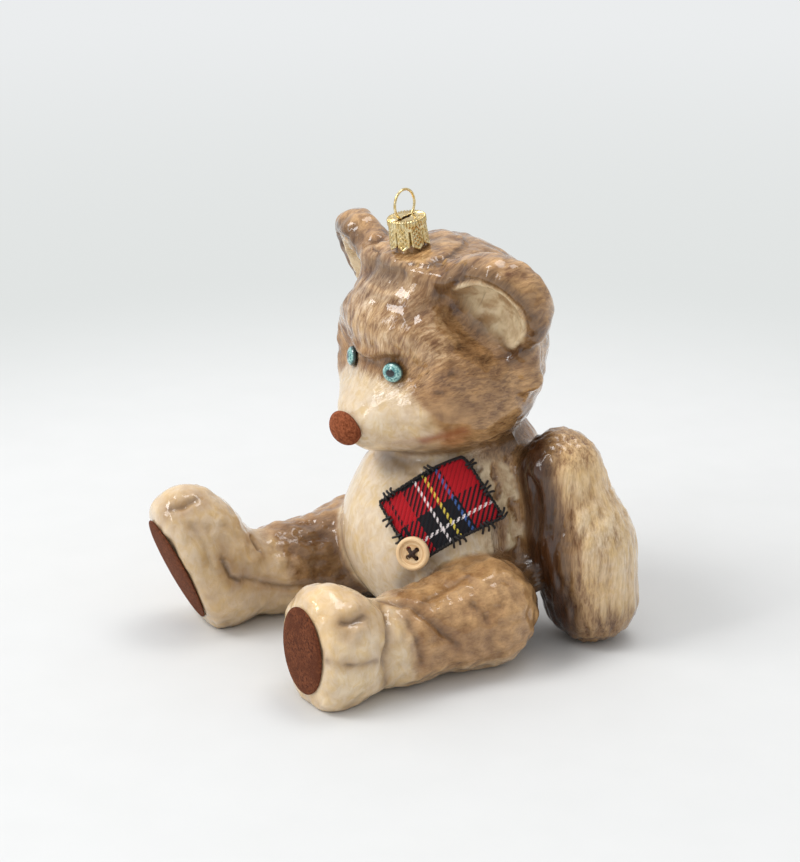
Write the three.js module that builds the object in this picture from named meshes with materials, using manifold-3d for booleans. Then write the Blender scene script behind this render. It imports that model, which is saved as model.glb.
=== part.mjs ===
// Hanging ornament in the shape of a seated, patched teddy bear: a figure of blown glass with a crimped
// metal cap and a wire hanger, glass eyes, a flocked nose and soles, and a sewn-on patch and button.
// Millimetres, +Z up. The bear faces -Y, its left side is +X, and it sits on the plane z = 0.
// The origin is on that plane, under the middle of the torso.
import * as THREE from 'three';
import { mergeVertices } from 'three/addons/utils/BufferGeometryUtils.js';
import { triTable } from 'three/addons/objects/MarchingCubes.js';
import Module from 'manifold-3d';

const wasm = await Module();
wasm.setup();

// Torso
const BELLY_WIDTH = 56;
const BELLY_DEPTH = 52;
const BELLY_HEIGHT = 51;
const CHEST_WIDTH = 46;
const CHEST_DEPTH = 40;
const CHEST_HEIGHT = 36;
const CHEST_SINK = 8.1;
const CHEST_SET_BACK = 8;
const SEAT_FLAT = 0.9;

// Head
const HEAD_WIDTH = 58;
const HEAD_DEPTH = 53;
const HEAD_HEIGHT = 53;
const HEAD_SINK = 10.1;
const HEAD_FORWARD = 0.8;
const CROWN_WIDTH = 45;
const CROWN_DEPTH = 38;
const CROWN_HEIGHT = 40;
const CROWN_BACK = 5;
const CROWN_RISE = 4.6;
const CHEEK_WIDTH = 54;
const CHEEK_DEPTH = 41;
const CHEEK_HEIGHT = 30;
const CHEEK_DROP = 10.4;
const CHEEK_FORWARD = 1.5;
const MUZZLE_REACH = 22;
const MUZZLE_LOW = 14.4;
const MUZZLE_ROOT_WIDTH = 25;
const MUZZLE_TIP_WIDTH = 17;
const MUZZLE_DROP = 2;
const BROW_HOLLOW_WIDTH = 16;
const BROW_HOLLOW_DEPTH = 0.6;
const BROW_REACH = 16;
const BROW_SWEEP = 8;
const BROW_RISE = 1;

// Ears
const EAR_DIAMETER = 27;
const EAR_RIM = 7;
const EAR_RIM_END = 4.6;
const EAR_WALL = 7;
const EAR_HOLLOW_DEPTH = 4.6;
const EAR_HOLLOW_WIDTH = 19.5;
const EAR_HOLLOW_LENGTH = 18.5;
const EAR_HOLLOW_INSET = 3;
const EAR_ROOT_SPREAD = 32;
const EAR_STAND = 13;
const EAR_LOBE_DROP = 21;
const EAR_LOBE_STAND = 9;
const EAR_LIFT = 4.55;
const EAR_UP_ANGLE = 30;
const EAR_FORWARD_ANGLE = 6.4;
const EAR_TURN = 20;
const EAR_TIP_FORWARD = 24;
const EAR_ROLL = 36;
const EAR_RIM_BLEND = 1;

// Arms
const SHOULDER_DIAMETER = 21;
const FOREARM_DIAMETER = 24.5;
const PAW_DIAMETER = 25;
const SHOULDER_SIDE = 31.5;
const SHOULDER_BACK = 15;
const SHOULDER_RISE = 5;
const PAW_SIDE = 36;
const PAW_BACK = 22.5;
const ELBOW_BULGE = 0.5;

// Legs and feet
const THIGH_DIAMETER = 28.5;
const ANKLE_DIAMETER = 21;
const SHIN_LENGTH = 22;
const LEFT_HIP_SIDE = 31;
const RIGHT_HIP_SIDE = 24;
const HIP_FORWARD = 10;
const LEFT_FOOT_SIDE = 27;
const LEFT_FOOT_FORWARD = 54.5;
const LEFT_FOOT_HEIGHT = 30.5;
const LEFT_SOLE_TILT = 0;
const RIGHT_FOOT_SIDE = 31;
const RIGHT_FOOT_FORWARD = 56;
const RIGHT_FOOT_HEIGHT = 41.5;
const RIGHT_SOLE_TILT = 24;
const FOOT_WIDTH = 27;
const FOOT_LENGTH = 28;
const SOLE_DEPTH = 7.5;

// How softly one form runs into the next
const TORSO_BLEND = 12;
const HEAD_BLEND = 9;
const BROW_BLEND = 6;
const EAR_BLEND = 5;
const EAR_HOLLOW_BLEND = 4;
const EAR_CHEEK_BLEND = 6;
const LIMB_BLEND = 8;
const FOOT_BLEND = 5;
const NECK_BLEND = 5;
const SOLE_BLEND = 3;

// Glass neck, cap and hanger
const CAP_FORWARD = 10;
const CAP_TILT = 9;
const CAP_TOP_DIAMETER = 10;
const CAP_SKIRT_DIAMETER = 10.8;
const CAP_HEIGHT = 7.4;
const CAP_WALL = 0.4;
const CAP_BAND_HEIGHT = 1.6;
const CAP_BAND_STEP = 0.3;
const CAP_EDGE_ROUND = 0.5;
const CAP_FLARE = 0.4;
const CAP_FLARE_HEIGHT = 0.8;
const CAP_PETALS = 8;
const CAP_SLIT_WIDTH = 1.6;
const CAP_SLIT_HEIGHT = 4.6;
const CAP_TURN = 14.5;
const NECK_WALL = 0.6;
const COLLAR_DIAMETER = 15;
const COLLAR_HEIGHT = 1.6;
const NECK_BORE_SPARE = 5;
const WIRE_DIAMETER = 0.7;
const LOOP_DIAMETER = 8.4;
const LOOP_FOOT_ANGLE = 55;
const WIRE_LEG_DEPTH = 7;

// Eyes and nose
const EYE_DIAMETER = 5.6;
const EYE_DOME = 2;
const EYE_SPACING = 17;
const EYE_DROP = 2.4;
const NOSE_WIDTH = 10;
const NOSE_HEIGHT = 7.8;
const NOSE_DOME = 3.3;
const NOSE_DROP = 1.4;

// Sole pads
const PAD_INSET = 1.8;
const PAD_THICKNESS = 0.9;

// Patch, stitching and button
const PATCH_LENGTH = 24;
const PATCH_WIDTH = 18.4;
const PATCH_THICKNESS = 0.7;
const PATCH_GAP = 0.7;
const PATCH_TURN = 52;
const PATCH_DROP = 3.4;
const PATCH_SPIN = 35;
const BORDER_WIDTH = 0.6;
const STITCH_WIDTH = 0.7;
const STITCH_LENGTH = 3.6;
const STITCH_FAN = 14;
const STITCH_SPACING = 1.5;
const TUFTS_PER_LONG_SIDE = 2;
const TUFTS_PER_SHORT_SIDE = 2;
const STITCHES_PER_TUFT = 3;
const BUTTON_DIAMETER = 8.8;
const BUTTON_THICKNESS = 2;
const BUTTON_RIM = 1.2;
const BUTTON_FOOT_CHAMFER = 0.6;
const BUTTON_EDGE_ROUND = 0.4;
const BUTTON_DISH = 0.6;
const BUTTON_HOLE = 1.3;
const BUTTON_HOLE_SPACING = 2.2;
const BUTTON_FROM_END = 1.7;
const BUTTON_FROM_SIDE = 3;

// Clearances and fineness
const SEAT_GAP = 0.3;
const SKIN_CELL = 3.3;
const RELAX_ROUNDS = 6;
const DOME_RINGS = 3;
const PROBE_START = 12;

// Heights that follow from the stack of belly, chest and head
const chestHeight = BELLY_HEIGHT - SEAT_FLAT - CHEST_SINK;
const headHeight = chestHeight + CHEST_HEIGHT / 2 - HEAD_SINK + HEAD_HEIGHT / 2;
const muzzleHeight = headHeight - MUZZLE_LOW;
const eyeHeight = headHeight - EYE_DROP;

// The neck fits inside the cap, the hanger's legs inside the neck, and the thread inside the button's holes
const capWaist = CAP_TOP_DIAMETER - 2 * CAP_BAND_STEP;
const capHem = CAP_SKIRT_DIAMETER - 2 * CAP_FLARE;
const capInside = Math.min(capWaist, capHem) - 2 * CAP_WALL;
const neckDiameter = capInside - 2 * SEAT_GAP;
const neckBore = neckDiameter - 2 * NECK_WALL;
const neckBoreDepth = WIRE_LEG_DEPTH + NECK_BORE_SPARE;
const wireLegSpread = neckBore - WIRE_DIAMETER - 2 * SEAT_GAP;
const buttonThreadDiameter = BUTTON_HOLE - 2 * SEAT_GAP;

const rad = THREE.MathUtils.degToRad;
const vec = (x, y, z) => new THREE.Vector3(x, y, z);

// Fields: functions of a point that give its distance to a form, negative inside the form

function ellipsoid(centre, width, depth, height, turn = new THREE.Quaternion()) {
  const radii = vec(width / 2, depth / 2, height / 2);
  const unturn = turn.clone().invert();
  const scaled = vec(0, 0, 0);
  const twice = vec(0, 0, 0);
  return (point) => {
    scaled.copy(point).sub(centre).applyQuaternion(unturn).divide(radii);
    twice.copy(scaled).divide(radii);
    const slope = Math.max(twice.length(), 1e-6);
    const reach = scaled.length();
    return (reach * (reach - 1)) / slope;
  };
}

// A limb that runs from one ball to another
function taper(from, to, fromDiameter, toDiameter) {
  const along = to.clone().sub(from);
  const length2 = along.lengthSq();
  const shrink = (fromDiameter - toDiameter) / 2;
  const slant2 = length2 - shrink * shrink;
  const offset = vec(0, 0, 0);
  const across = vec(0, 0, 0);
  return (point) => {
    offset.copy(point).sub(from);
    const near = offset.dot(along);
    const far = near - length2;
    across.copy(offset).multiplyScalar(length2).addScaledVector(along, -near);
    const across2 = across.lengthSq();
    const near2 = near * near * length2;
    const far2 = far * far * length2;
    const limit = Math.sign(shrink) * shrink * shrink * across2;
    if (Math.sign(far) * slant2 * far2 > limit) {
      return Math.sqrt(across2 + far2) / length2 - toDiameter / 2;
    }
    if (Math.sign(near) * slant2 * near2 < limit) {
      return Math.sqrt(across2 + near2) / length2 - fromDiameter / 2;
    }
    return (Math.sqrt((across2 * slant2) / length2) + near * shrink) / length2 - fromDiameter / 2;
  };
}

function halfSpace(through, normal) {
  const level = through.dot(normal);
  return (point) => point.dot(normal) - level;
}

function softMin(first, second, softness) {
  const mix = Math.max(softness - Math.abs(first - second), 0) / softness;
  return Math.min(first, second) - (mix * mix * softness) / 4;
}

function join(softness, ...forms) {
  return (point) => forms.map((form) => form(point)).reduce((sum, next) => softMin(sum, next, softness));
}

function carve(softness, form, tool) {
  return (point) => -softMin(-form(point), tool(point), softness);
}

// The point where a straight line meets the surface of a field, coming from outside
function meet(field, start, direction) {
  const point = start.clone();
  for (let step = 0; step < 200; step++) {
    const distance = field(point);
    if (Math.abs(distance) < 1e-4) break;
    point.addScaledVector(direction, distance * 0.8);
  }
  return point;
}

function placeIn(frame, x, y, height) {
  return frame.origin
    .clone()
    .addScaledVector(frame.across, x)
    .addScaledVector(frame.up, y)
    .addScaledVector(frame.outward, height);
}

// The forms of the bear

const headCentre = vec(0, -HEAD_FORWARD, headHeight);

function torsoForm() {
  const belly = ellipsoid(vec(0, 0, BELLY_HEIGHT / 2 - SEAT_FLAT), BELLY_WIDTH, BELLY_DEPTH, BELLY_HEIGHT);
  const chest = ellipsoid(vec(0, CHEST_SET_BACK, chestHeight), CHEST_WIDTH, CHEST_DEPTH, CHEST_HEIGHT);
  return join(TORSO_BLEND, belly, chest);
}

function headForm() {
  const skull = ellipsoid(headCentre, HEAD_WIDTH, HEAD_DEPTH, HEAD_HEIGHT);
  const crownCentre = vec(0, CROWN_BACK, headHeight + CROWN_RISE);
  const crown = ellipsoid(crownCentre, CROWN_WIDTH, CROWN_DEPTH, CROWN_HEIGHT);
  const cheekCentre = vec(0, -CHEEK_FORWARD, headHeight - CHEEK_DROP);
  const cheeks = ellipsoid(cheekCentre, CHEEK_WIDTH, CHEEK_DEPTH, CHEEK_HEIGHT);
  const muzzleRoot = vec(0, -MUZZLE_REACH / 2, muzzleHeight + MUZZLE_DROP);
  const muzzleTip = vec(0, -MUZZLE_REACH, muzzleHeight - MUZZLE_DROP);
  const muzzle = taper(muzzleRoot, muzzleTip, MUZZLE_ROOT_WIDTH, MUZZLE_TIP_WIDTH);
  const ahead = HEAD_DEPTH / 2 + HEAD_FORWARD + BROW_HOLLOW_WIDTH / 2 - BROW_HOLLOW_DEPTH;
  const between = vec(0, -ahead, eyeHeight + BROW_RISE);
  const brows = [1, -1].map((side) => {
    const beside = between.clone().add(vec(side * BROW_REACH, BROW_SWEEP, 0));
    return taper(between, beside, BROW_HOLLOW_WIDTH, BROW_HOLLOW_WIDTH);
  });
  return carve(BROW_BLEND, join(HEAD_BLEND, skull, crown, cheeks, muzzle), join(BROW_BLEND, ...brows));
}

// Points in the plane of an ear, whose middle stands off the head: down its root, out to its tip and ahead
function earPlace(side) {
  const rise = new THREE.Euler(0, -side * rad(EAR_UP_ANGLE), -side * rad(EAR_FORWARD_ANGLE), 'ZYX');
  const away = vec(side, 0, 0).applyEuler(rise);
  const seat = meet(head, headCentre.clone().addScaledVector(away, 2 * HEAD_WIDTH), away.clone().negate());
  const centre = seat.addScaledVector(away, EAR_LIFT);
  const lean = new THREE.Euler(rad(EAR_TIP_FORWARD), 0, side * rad(EAR_TURN), 'ZXY');
  const turn = new THREE.Quaternion().setFromEuler(lean);
  turn.multiply(new THREE.Quaternion().setFromAxisAngle(vec(0, 1, 0), -side * rad(EAR_ROLL)));
  const place = (down, out, ahead) =>
    vec(side * out, -ahead, -down).applyQuaternion(turn).add(centre);
  return { turn, place };
}

// A cupped ear: a rolled rim that runs from the crown round the tip to the temple, and a wall behind it
function earForm(side) {
  const { turn, place } = earPlace(side);
  const curve = (EAR_DIAMETER - EAR_RIM) / 2;
  const path = [place(-EAR_ROOT_SPREAD / 2, -EAR_STAND, 0)];
  for (let angle = 190; angle >= -10; angle -= 25) {
    path.push(place(curve * Math.cos(rad(angle)), curve * Math.sin(rad(angle)), 0));
  }
  path.push(place(EAR_LOBE_DROP, -EAR_LOBE_STAND, 0));
  const widths = path.map((_, n) => (n === 0 || n === path.length - 1 ? EAR_RIM_END : EAR_RIM));
  const runs = path.slice(1).map((point, n) => taper(path[n], point, widths[n], widths[n + 1]));
  const rim = join(EAR_RIM_BLEND, ...runs);
  const wallCentre = place(0, -EAR_STAND / 3, EAR_RIM / 2 - EAR_HOLLOW_DEPTH - EAR_WALL / 2);
  const wall = ellipsoid(wallCentre, EAR_DIAMETER + EAR_STAND / 2, EAR_WALL, EAR_DIAMETER, turn);
  return join(EAR_BLEND, rim, wall);
}

function earHollow(side) {
  const { turn, place } = earPlace(side);
  const centre = place(0, -EAR_HOLLOW_INSET, EAR_RIM / 2);
  return ellipsoid(centre, EAR_HOLLOW_WIDTH, 2 * EAR_HOLLOW_DEPTH, EAR_HOLLOW_LENGTH, turn);
}

// The head with one ear more: the ear's hollow is crisp inside the rim and runs out softly over the cheek
function withEar(form, side) {
  const hollow = earHollow(side);
  const ear = carve(EAR_HOLLOW_BLEND, earForm(side), hollow);
  return join(EAR_BLEND, carve(EAR_CHEEK_BLEND, form, hollow), ear);
}

function armForm(side) {
  const shoulder = vec(side * SHOULDER_SIDE, SHOULDER_BACK, chestHeight + SHOULDER_RISE);
  const paw = vec(side * PAW_SIDE, PAW_BACK, PAW_DIAMETER / 2 - SEAT_FLAT);
  const elbow = shoulder.clone().lerp(paw, 0.6).add(vec(side * ELBOW_BULGE, ELBOW_BULGE, 0));
  const upper = taper(shoulder, elbow, SHOULDER_DIAMETER, FOREARM_DIAMETER);
  const lower = taper(elbow, paw, FOREARM_DIAMETER, PAW_DIAMETER);
  return join(LIMB_BLEND, upper, lower);
}

const FEET = {
  left: {
    hip: LEFT_HIP_SIDE,
    side: LEFT_FOOT_SIDE,
    forward: LEFT_FOOT_FORWARD,
    height: LEFT_FOOT_HEIGHT,
    tilt: LEFT_SOLE_TILT,
  },
  right: {
    hip: -RIGHT_HIP_SIDE,
    side: -RIGHT_FOOT_SIDE,
    forward: RIGHT_FOOT_FORWARD,
    height: RIGHT_FOOT_HEIGHT,
    tilt: RIGHT_SOLE_TILT,
  },
};

// The middle of a foot, and the way its sole faces
function footFrame(foot) {
  const centre = vec(foot.side, -foot.forward, foot.height / 2 - SEAT_FLAT);
  const hip = vec(foot.hip, -HIP_FORWARD, centre.z);
  const heading = centre.clone().sub(hip).normalize();
  const turn = new THREE.Quaternion().setFromUnitVectors(vec(0, -1, 0), heading);
  turn.multiply(new THREE.Quaternion().setFromAxisAngle(vec(1, 0, 0), rad(foot.tilt)));
  return { centre, turn, facing: vec(0, -1, 0).applyQuaternion(turn) };
}

function legForm(foot) {
  const { centre, turn, facing } = footFrame(foot);
  const hip = vec(foot.hip, -HIP_FORWARD, THIGH_DIAMETER / 2 - SEAT_FLAT);
  const heel = vec(centre.x, centre.y, ANKLE_DIAMETER / 2 - SEAT_FLAT);
  const knee = hip.clone().sub(heel).setLength(SHIN_LENGTH).add(heel);
  const thigh = taper(hip, knee, THIGH_DIAMETER, ANKLE_DIAMETER);
  const shin = taper(knee, heel, ANKLE_DIAMETER, ANKLE_DIAMETER);
  const ball = ellipsoid(centre, FOOT_WIDTH, FOOT_LENGTH, foot.height, turn);
  const sole = halfSpace(centre.clone().addScaledVector(facing, SOLE_DEPTH), facing.clone().negate());
  return carve(SOLE_BLEND, join(FOOT_BLEND, thigh, shin, ball), sole);
}

// The frame of the neck: its foot on the skull, with outward along the tilted axis
function neckFrame() {
  const origin = meet(head, vec(0, -CAP_FORWARD, headHeight + HEAD_HEIGHT), vec(0, 0, -1));
  const outward = vec(0, -Math.sin(rad(CAP_TILT)), Math.cos(rad(CAP_TILT)));
  const across = vec(Math.cos(rad(CAP_TURN)), Math.sin(rad(CAP_TURN)), 0);
  const up = outward.clone().cross(across).normalize();
  across.copy(up).cross(outward);
  return { origin, across, up, outward };
}

// The low mound of glass that carries the neck
function collarForm() {
  const turn = new THREE.Quaternion().setFromUnitVectors(vec(0, 0, 1), neck.outward);
  return ellipsoid(neck.origin, COLLAR_DIAMETER, COLLAR_DIAMETER, COLLAR_HEIGHT, turn);
}

// The highest that the figure reaches over the foot of a frame, under a ring of the given diameter
function reachUnder(frame, diameter) {
  const inward = frame.outward.clone().negate();
  const heights = [];
  for (let n = 0; n < 24; n++) {
    const angle = (n * Math.PI) / 12;
    const x = (diameter / 2) * Math.cos(angle);
    const y = (diameter / 2) * Math.sin(angle);
    const spot = meet(figure, placeIn(frame, x, y, PROBE_START), inward).sub(frame.origin);
    heights.push(spot.dot(frame.outward));
  }
  return Math.max(...heights);
}

const torso = torsoForm();
const head = headForm();
const neck = neckFrame();
const earedHead = [1, -1].reduce(withEar, join(EAR_BLEND, head, collarForm()));
const figure = join(
  LIMB_BLEND,
  join(NECK_BLEND, torso, earedHead),
  armForm(1),
  armForm(-1),
  legForm(FEET.left),
  legForm(FEET.right),
);
const capLift = reachUnder(neck, CAP_SKIRT_DIAMETER) + SEAT_GAP;
const neckTop = capLift + CAP_HEIGHT - CAP_WALL - SEAT_GAP;

// The skin of a field

function slopeAt(field, point) {
  const step = 0.05;
  const probe = point.clone();
  const slope = vec(0, 0, 0);
  for (const axis of ['x', 'y', 'z']) {
    probe[axis] = point[axis] + step;
    const above = field(probe);
    probe[axis] = point[axis] - step;
    slope[axis] = (above - field(probe)) / (2 * step);
    probe[axis] = point[axis];
  }
  return slope;
}

function settle(field, point) {
  const slope = slopeAt(field, point);
  const steepness = Math.max(slope.lengthSq(), 0.2);
  point.addScaledVector(slope, -field(point) / steepness);
}

const CORNERS = [
  [0, 0, 0],
  [1, 0, 0],
  [1, 1, 0],
  [0, 1, 0],
  [0, 0, 1],
  [1, 0, 1],
  [1, 1, 1],
  [0, 1, 1],
];
const EDGES = [
  [0, 1],
  [1, 2],
  [2, 3],
  [3, 0],
  [4, 5],
  [5, 6],
  [6, 7],
  [7, 4],
  [0, 4],
  [1, 5],
  [2, 6],
  [3, 7],
];

// The closed surface on which the field is zero, with evenly spread vertices
function skinOf(field, low, high, cell) {
  const counts = high.clone().sub(low).divideScalar(cell).ceil();
  const at = (i, j, k) => vec(low.x + i * cell, low.y + j * cell, low.z + k * cell);
  const key = (i, j, k) => (k * (counts.y + 2) + j) * (counts.x + 2) + i;
  const levels = new Map();
  const levelAt = (i, j, k) => {
    const id = key(i, j, k);
    if (!levels.has(id)) levels.set(id, field(at(i, j, k)));
    return levels.get(id);
  };
  const points = [];
  const made = new Map();
  const crossing = (a, b) => {
    const id = [key(...a), key(...b)].sort((m, n) => m - n).join(' ');
    if (!made.has(id)) {
      const start = levelAt(...a);
      const share = start / (start - levelAt(...b));
      made.set(id, points.length);
      points.push(at(...a).lerp(at(...b), THREE.MathUtils.clamp(share, 0.02, 0.98)));
    }
    return made.get(id);
  };
  const triangles = [];
  for (let k = 0; k < counts.z; k++) {
    for (let j = 0; j < counts.y; j++) {
      for (let i = 0; i < counts.x; i++) {
        const corners = CORNERS.map(([x, y, z]) => [i + x, j + y, k + z]);
        const shape = corners.reduce((bits, corner, n) => bits | (levelAt(...corner) < 0 ? 1 << n : 0), 0);
        for (let n = shape * 16; triTable[n] !== -1; n += 3) {
          const ends = [triTable[n], triTable[n + 1], triTable[n + 2]].map((edge) => EDGES[edge]);
          triangles.push(ends.map(([a, b]) => crossing(corners[a], corners[b])).reverse());
        }
      }
    }
  }
  relax(field, points, triangles);
  const geometry = new THREE.BufferGeometry();
  const places = points.flatMap((point) => point.toArray());
  geometry.setAttribute('position', new THREE.Float32BufferAttribute(places, 3));
  geometry.setIndex(triangles.flat());
  return geometry;
}

// Slides every vertex along the surface toward the middle of its neighbours
function relax(field, points, triangles) {
  const neighbours = points.map(() => new Set());
  for (const [a, b, c] of triangles) {
    neighbours[a].add(b).add(c);
    neighbours[b].add(a).add(c);
    neighbours[c].add(a).add(b);
  }
  for (let round = 0; round < RELAX_ROUNDS; round++) {
    const moves = points.map((point, n) => {
      const middle = vec(0, 0, 0);
      neighbours[n].forEach((other) => middle.add(points[other]));
      const move = middle.divideScalar(neighbours[n].size).sub(point);
      return move.projectOnPlane(slopeAt(field, point).normalize());
    });
    points.forEach((point, n) => {
      point.addScaledVector(moves[n], 0.6);
      settle(field, point);
      settle(field, point);
    });
  }
}

// Solids

function solidOf(geometry) {
  const bare = geometry.clone();
  for (const name of Object.keys(bare.attributes)) {
    if (name !== 'position') bare.deleteAttribute(name);
  }
  const merged = mergeVertices(bare, 1e-4);
  const vertProperties = new Float32Array(merged.attributes.position.array);
  const triVerts = new Uint32Array(merged.index.array);
  return new wasm.Manifold(new wasm.Mesh({ numProp: 3, vertProperties, triVerts }));
}

function geometryOf(solid) {
  const mesh = solid.getMesh();
  const geometry = new THREE.BufferGeometry();
  geometry.setAttribute('position', new THREE.BufferAttribute(new Float32Array(mesh.vertProperties), 3));
  geometry.setIndex(new THREE.BufferAttribute(new Uint32Array(mesh.triVerts), 1));
  return geometry;
}

function cut(base, ...tools) {
  return geometryOf(tools.reduce((solid, tool) => solid.subtract(solidOf(tool)), solidOf(base)));
}

function fuse(...geometries) {
  return geometryOf(geometries.map(solidOf).reduce((sum, next) => sum.add(next)));
}

// A lathe about +Z; the profile is a list of [radius, height] pairs
function turned(profile, segments = 32) {
  const lathe = new THREE.LatheGeometry(
    profile.map(([radius, height]) => new THREE.Vector2(radius, height)),
    segments,
  );
  return lathe.rotateX(Math.PI / 2);
}

// Places on the figure

// A frame on the surface: across, up and outward, turned in its plane by spin degrees
function frameAt(start, direction, spin = 0) {
  const origin = meet(figure, start, direction);
  const outward = slopeAt(figure, origin).normalize();
  const across = vec(0, 0, 1).cross(outward).normalize();
  const up = outward.clone().cross(across);
  across.applyAxisAngle(outward, rad(spin));
  up.applyAxisAngle(outward, rad(spin));
  return { origin, across, up, outward };
}

// Bends a geometry that stands on the plane z = 0 over the figure, a clear gap above its surface
function lay(geometry, frame, gap) {
  const places = geometry.attributes.position;
  const inward = frame.outward.clone().negate();
  for (let n = 0; n < places.count; n++) {
    const foot = meet(figure, placeIn(frame, places.getX(n), places.getY(n), PROBE_START), inward);
    const outward = slopeAt(figure, foot).normalize();
    foot.addScaledVector(outward, gap + places.getZ(n));
    places.setXYZ(n, foot.x, foot.y, foot.z);
  }
  return geometry;
}

// Sets a geometry that stands on the plane z = 0 upright in a frame without bending it
function stand(geometry, frame, height) {
  const matrix = new THREE.Matrix4().makeBasis(frame.across, frame.up, frame.outward);
  matrix.setPosition(placeIn(frame, 0, 0, height));
  return geometry.applyMatrix4(matrix);
}

// Glass

// A box that holds the whole figure with room to spare
function figureBox() {
  const side = Math.max(
    BELLY_WIDTH,
    HEAD_WIDTH,
    HEAD_WIDTH / 2 + EAR_LIFT + EAR_DIAMETER,
    SHOULDER_SIDE + FOREARM_DIAMETER,
    PAW_SIDE + FOREARM_DIAMETER,
    LEFT_HIP_SIDE + THIGH_DIAMETER,
    RIGHT_HIP_SIDE + THIGH_DIAMETER,
    LEFT_FOOT_SIDE + FOOT_WIDTH,
    RIGHT_FOOT_SIDE + FOOT_WIDTH,
  );
  const front = Math.max(LEFT_FOOT_FORWARD, RIGHT_FOOT_FORWARD, HEAD_DEPTH, BELLY_DEPTH) + FOOT_LENGTH;
  const back = Math.max(SHOULDER_BACK, PAW_BACK, CROWN_BACK) + Math.max(FOREARM_DIAMETER, BELLY_DEPTH / 2);
  const top = headHeight + HEAD_HEIGHT / 2 + EAR_LIFT + EAR_DIAMETER;
  return { low: vec(-side, -front, -SEAT_FLAT - 2 * SKIN_CELL), high: vec(side, back, top) };
}

function glassBear() {
  const { low, high } = figureBox();
  const skin = skinOf(figure, low, high, SKIN_CELL);
  const neckRadius = neckDiameter / 2;
  const pipe = turned([
    [0, -neckBoreDepth],
    [neckRadius, -neckBoreDepth],
    [neckRadius, neckTop],
    [0, neckTop],
  ]);
  const bore = turned([
    [0, neckTop - neckBoreDepth],
    [neckBore / 2, neckTop - neckBoreDepth],
    [neckBore / 2, neckTop + SEAT_GAP],
    [0, neckTop + SEAT_GAP],
  ]);
  const ground = new THREE.BoxGeometry(4 * high.x, -4 * low.y, -2 * low.z).translate(0, 0, low.z);
  return cut(fuse(skin, stand(pipe, neck, 0)), stand(bore, neck, 0), ground);
}

// Metal

const loopRadius = (LOOP_DIAMETER - WIRE_DIAMETER) / 2;
const loopFoot = loopRadius * Math.cos(rad(LOOP_FOOT_ANGLE));

function cap() {
  const top = CAP_TOP_DIAMETER / 2;
  const skirt = CAP_SKIRT_DIAMETER / 2;
  const waist = top - CAP_BAND_STEP;
  const hem = skirt - CAP_FLARE;
  const band = CAP_HEIGHT - CAP_BAND_HEIGHT;
  const shell = turned([
    [0, CAP_HEIGHT - CAP_WALL],
    [top - CAP_WALL, CAP_HEIGHT - CAP_WALL],
    [top - CAP_WALL, band],
    [waist - CAP_WALL, band - CAP_BAND_STEP],
    [hem - CAP_WALL, CAP_FLARE_HEIGHT],
    [skirt - CAP_WALL, 0],
    [skirt, 0],
    [hem, CAP_FLARE_HEIGHT],
    [waist, band - CAP_BAND_STEP],
    [top, band],
    [top, CAP_HEIGHT - CAP_EDGE_ROUND],
    [top - CAP_EDGE_ROUND, CAP_HEIGHT],
    [0, CAP_HEIGHT],
  ]);
  const slotWidth = WIRE_DIAMETER + 2 * SEAT_GAP;
  const slotLength = 2 * loopFoot + slotWidth;
  const slot = new THREE.BoxGeometry(slotWidth, slotLength, 3 * CAP_WALL).translate(0, 0, CAP_HEIGHT);
  const slits = [];
  for (let n = 0; n < CAP_PETALS; n++) {
    const wedge = new THREE.Shape();
    wedge.moveTo(-CAP_SLIT_WIDTH / 2, -1);
    wedge.lineTo(CAP_SLIT_WIDTH / 2, -1);
    wedge.lineTo(0, CAP_SLIT_HEIGHT);
    const slit = new THREE.ExtrudeGeometry(wedge, { depth: skirt, bevelEnabled: false });
    slits.push(slit.translate(0, 0, 1).rotateX(Math.PI / 2).rotateZ((n * 2 * Math.PI) / CAP_PETALS));
  }
  return stand(cut(shell, slot, ...slits), neck, capLift);
}

// A ring that stands on the cap, and two legs that run down through the slot into the neck
function hangerWire() {
  const centre = CAP_HEIGHT + loopRadius * Math.sin(rad(LOOP_FOOT_ANGLE));
  const onRing = (angle) => vec(0, Math.cos(rad(angle)), Math.sin(rad(angle))).multiplyScalar(loopRadius);
  const lifted = (angle) => onRing(angle).add(vec(0, 0, centre));
  const half = [
    vec(0, wireLegSpread / 2, CAP_HEIGHT - WIRE_LEG_DEPTH),
    vec(0, loopFoot, CAP_HEIGHT - 2 * CAP_WALL),
  ];
  for (const angle of [-LOOP_FOOT_ANGLE, -25, 5, 35, 62]) {
    half.push(lifted(angle));
  }
  const mirrored = half.map((p) => vec(0, -p.y, p.z)).reverse();
  const path = new THREE.CatmullRomCurve3([...half, lifted(90), ...mirrored]);
  const section = new THREE.Shape();
  section.absarc(0, 0, WIRE_DIAMETER / 2, 0, 2 * Math.PI);
  const wire = new THREE.ExtrudeGeometry(section, { steps: 52, extrudePath: path, curveSegments: 4 });
  return stand(wire, neck, capLift);
}

// Face

// A low dome on a flat foot, with rings enough in both to bend
function dome(width, height, rise) {
  const profile = [];
  for (let ring = 0; ring <= DOME_RINGS; ring++) {
    profile.push([(0.5 * ring) / DOME_RINGS, 0]);
  }
  for (let ring = 0; ring < DOME_RINGS; ring++) {
    const angle = (ring * Math.PI) / 2 / DOME_RINGS;
    profile.push([0.5 * Math.cos(angle), rise * (0.2 + 0.8 * Math.sin(angle))]);
  }
  profile.push([0, rise]);
  return turned(profile, 20).scale(width, height, 1);
}

function eye(side) {
  const frame = frameAt(vec((side * EYE_SPACING) / 2, -HEAD_DEPTH, eyeHeight), vec(0, 1, 0));
  return lay(dome(EYE_DIAMETER, EYE_DIAMETER, EYE_DOME), frame, SEAT_GAP);
}

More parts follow.
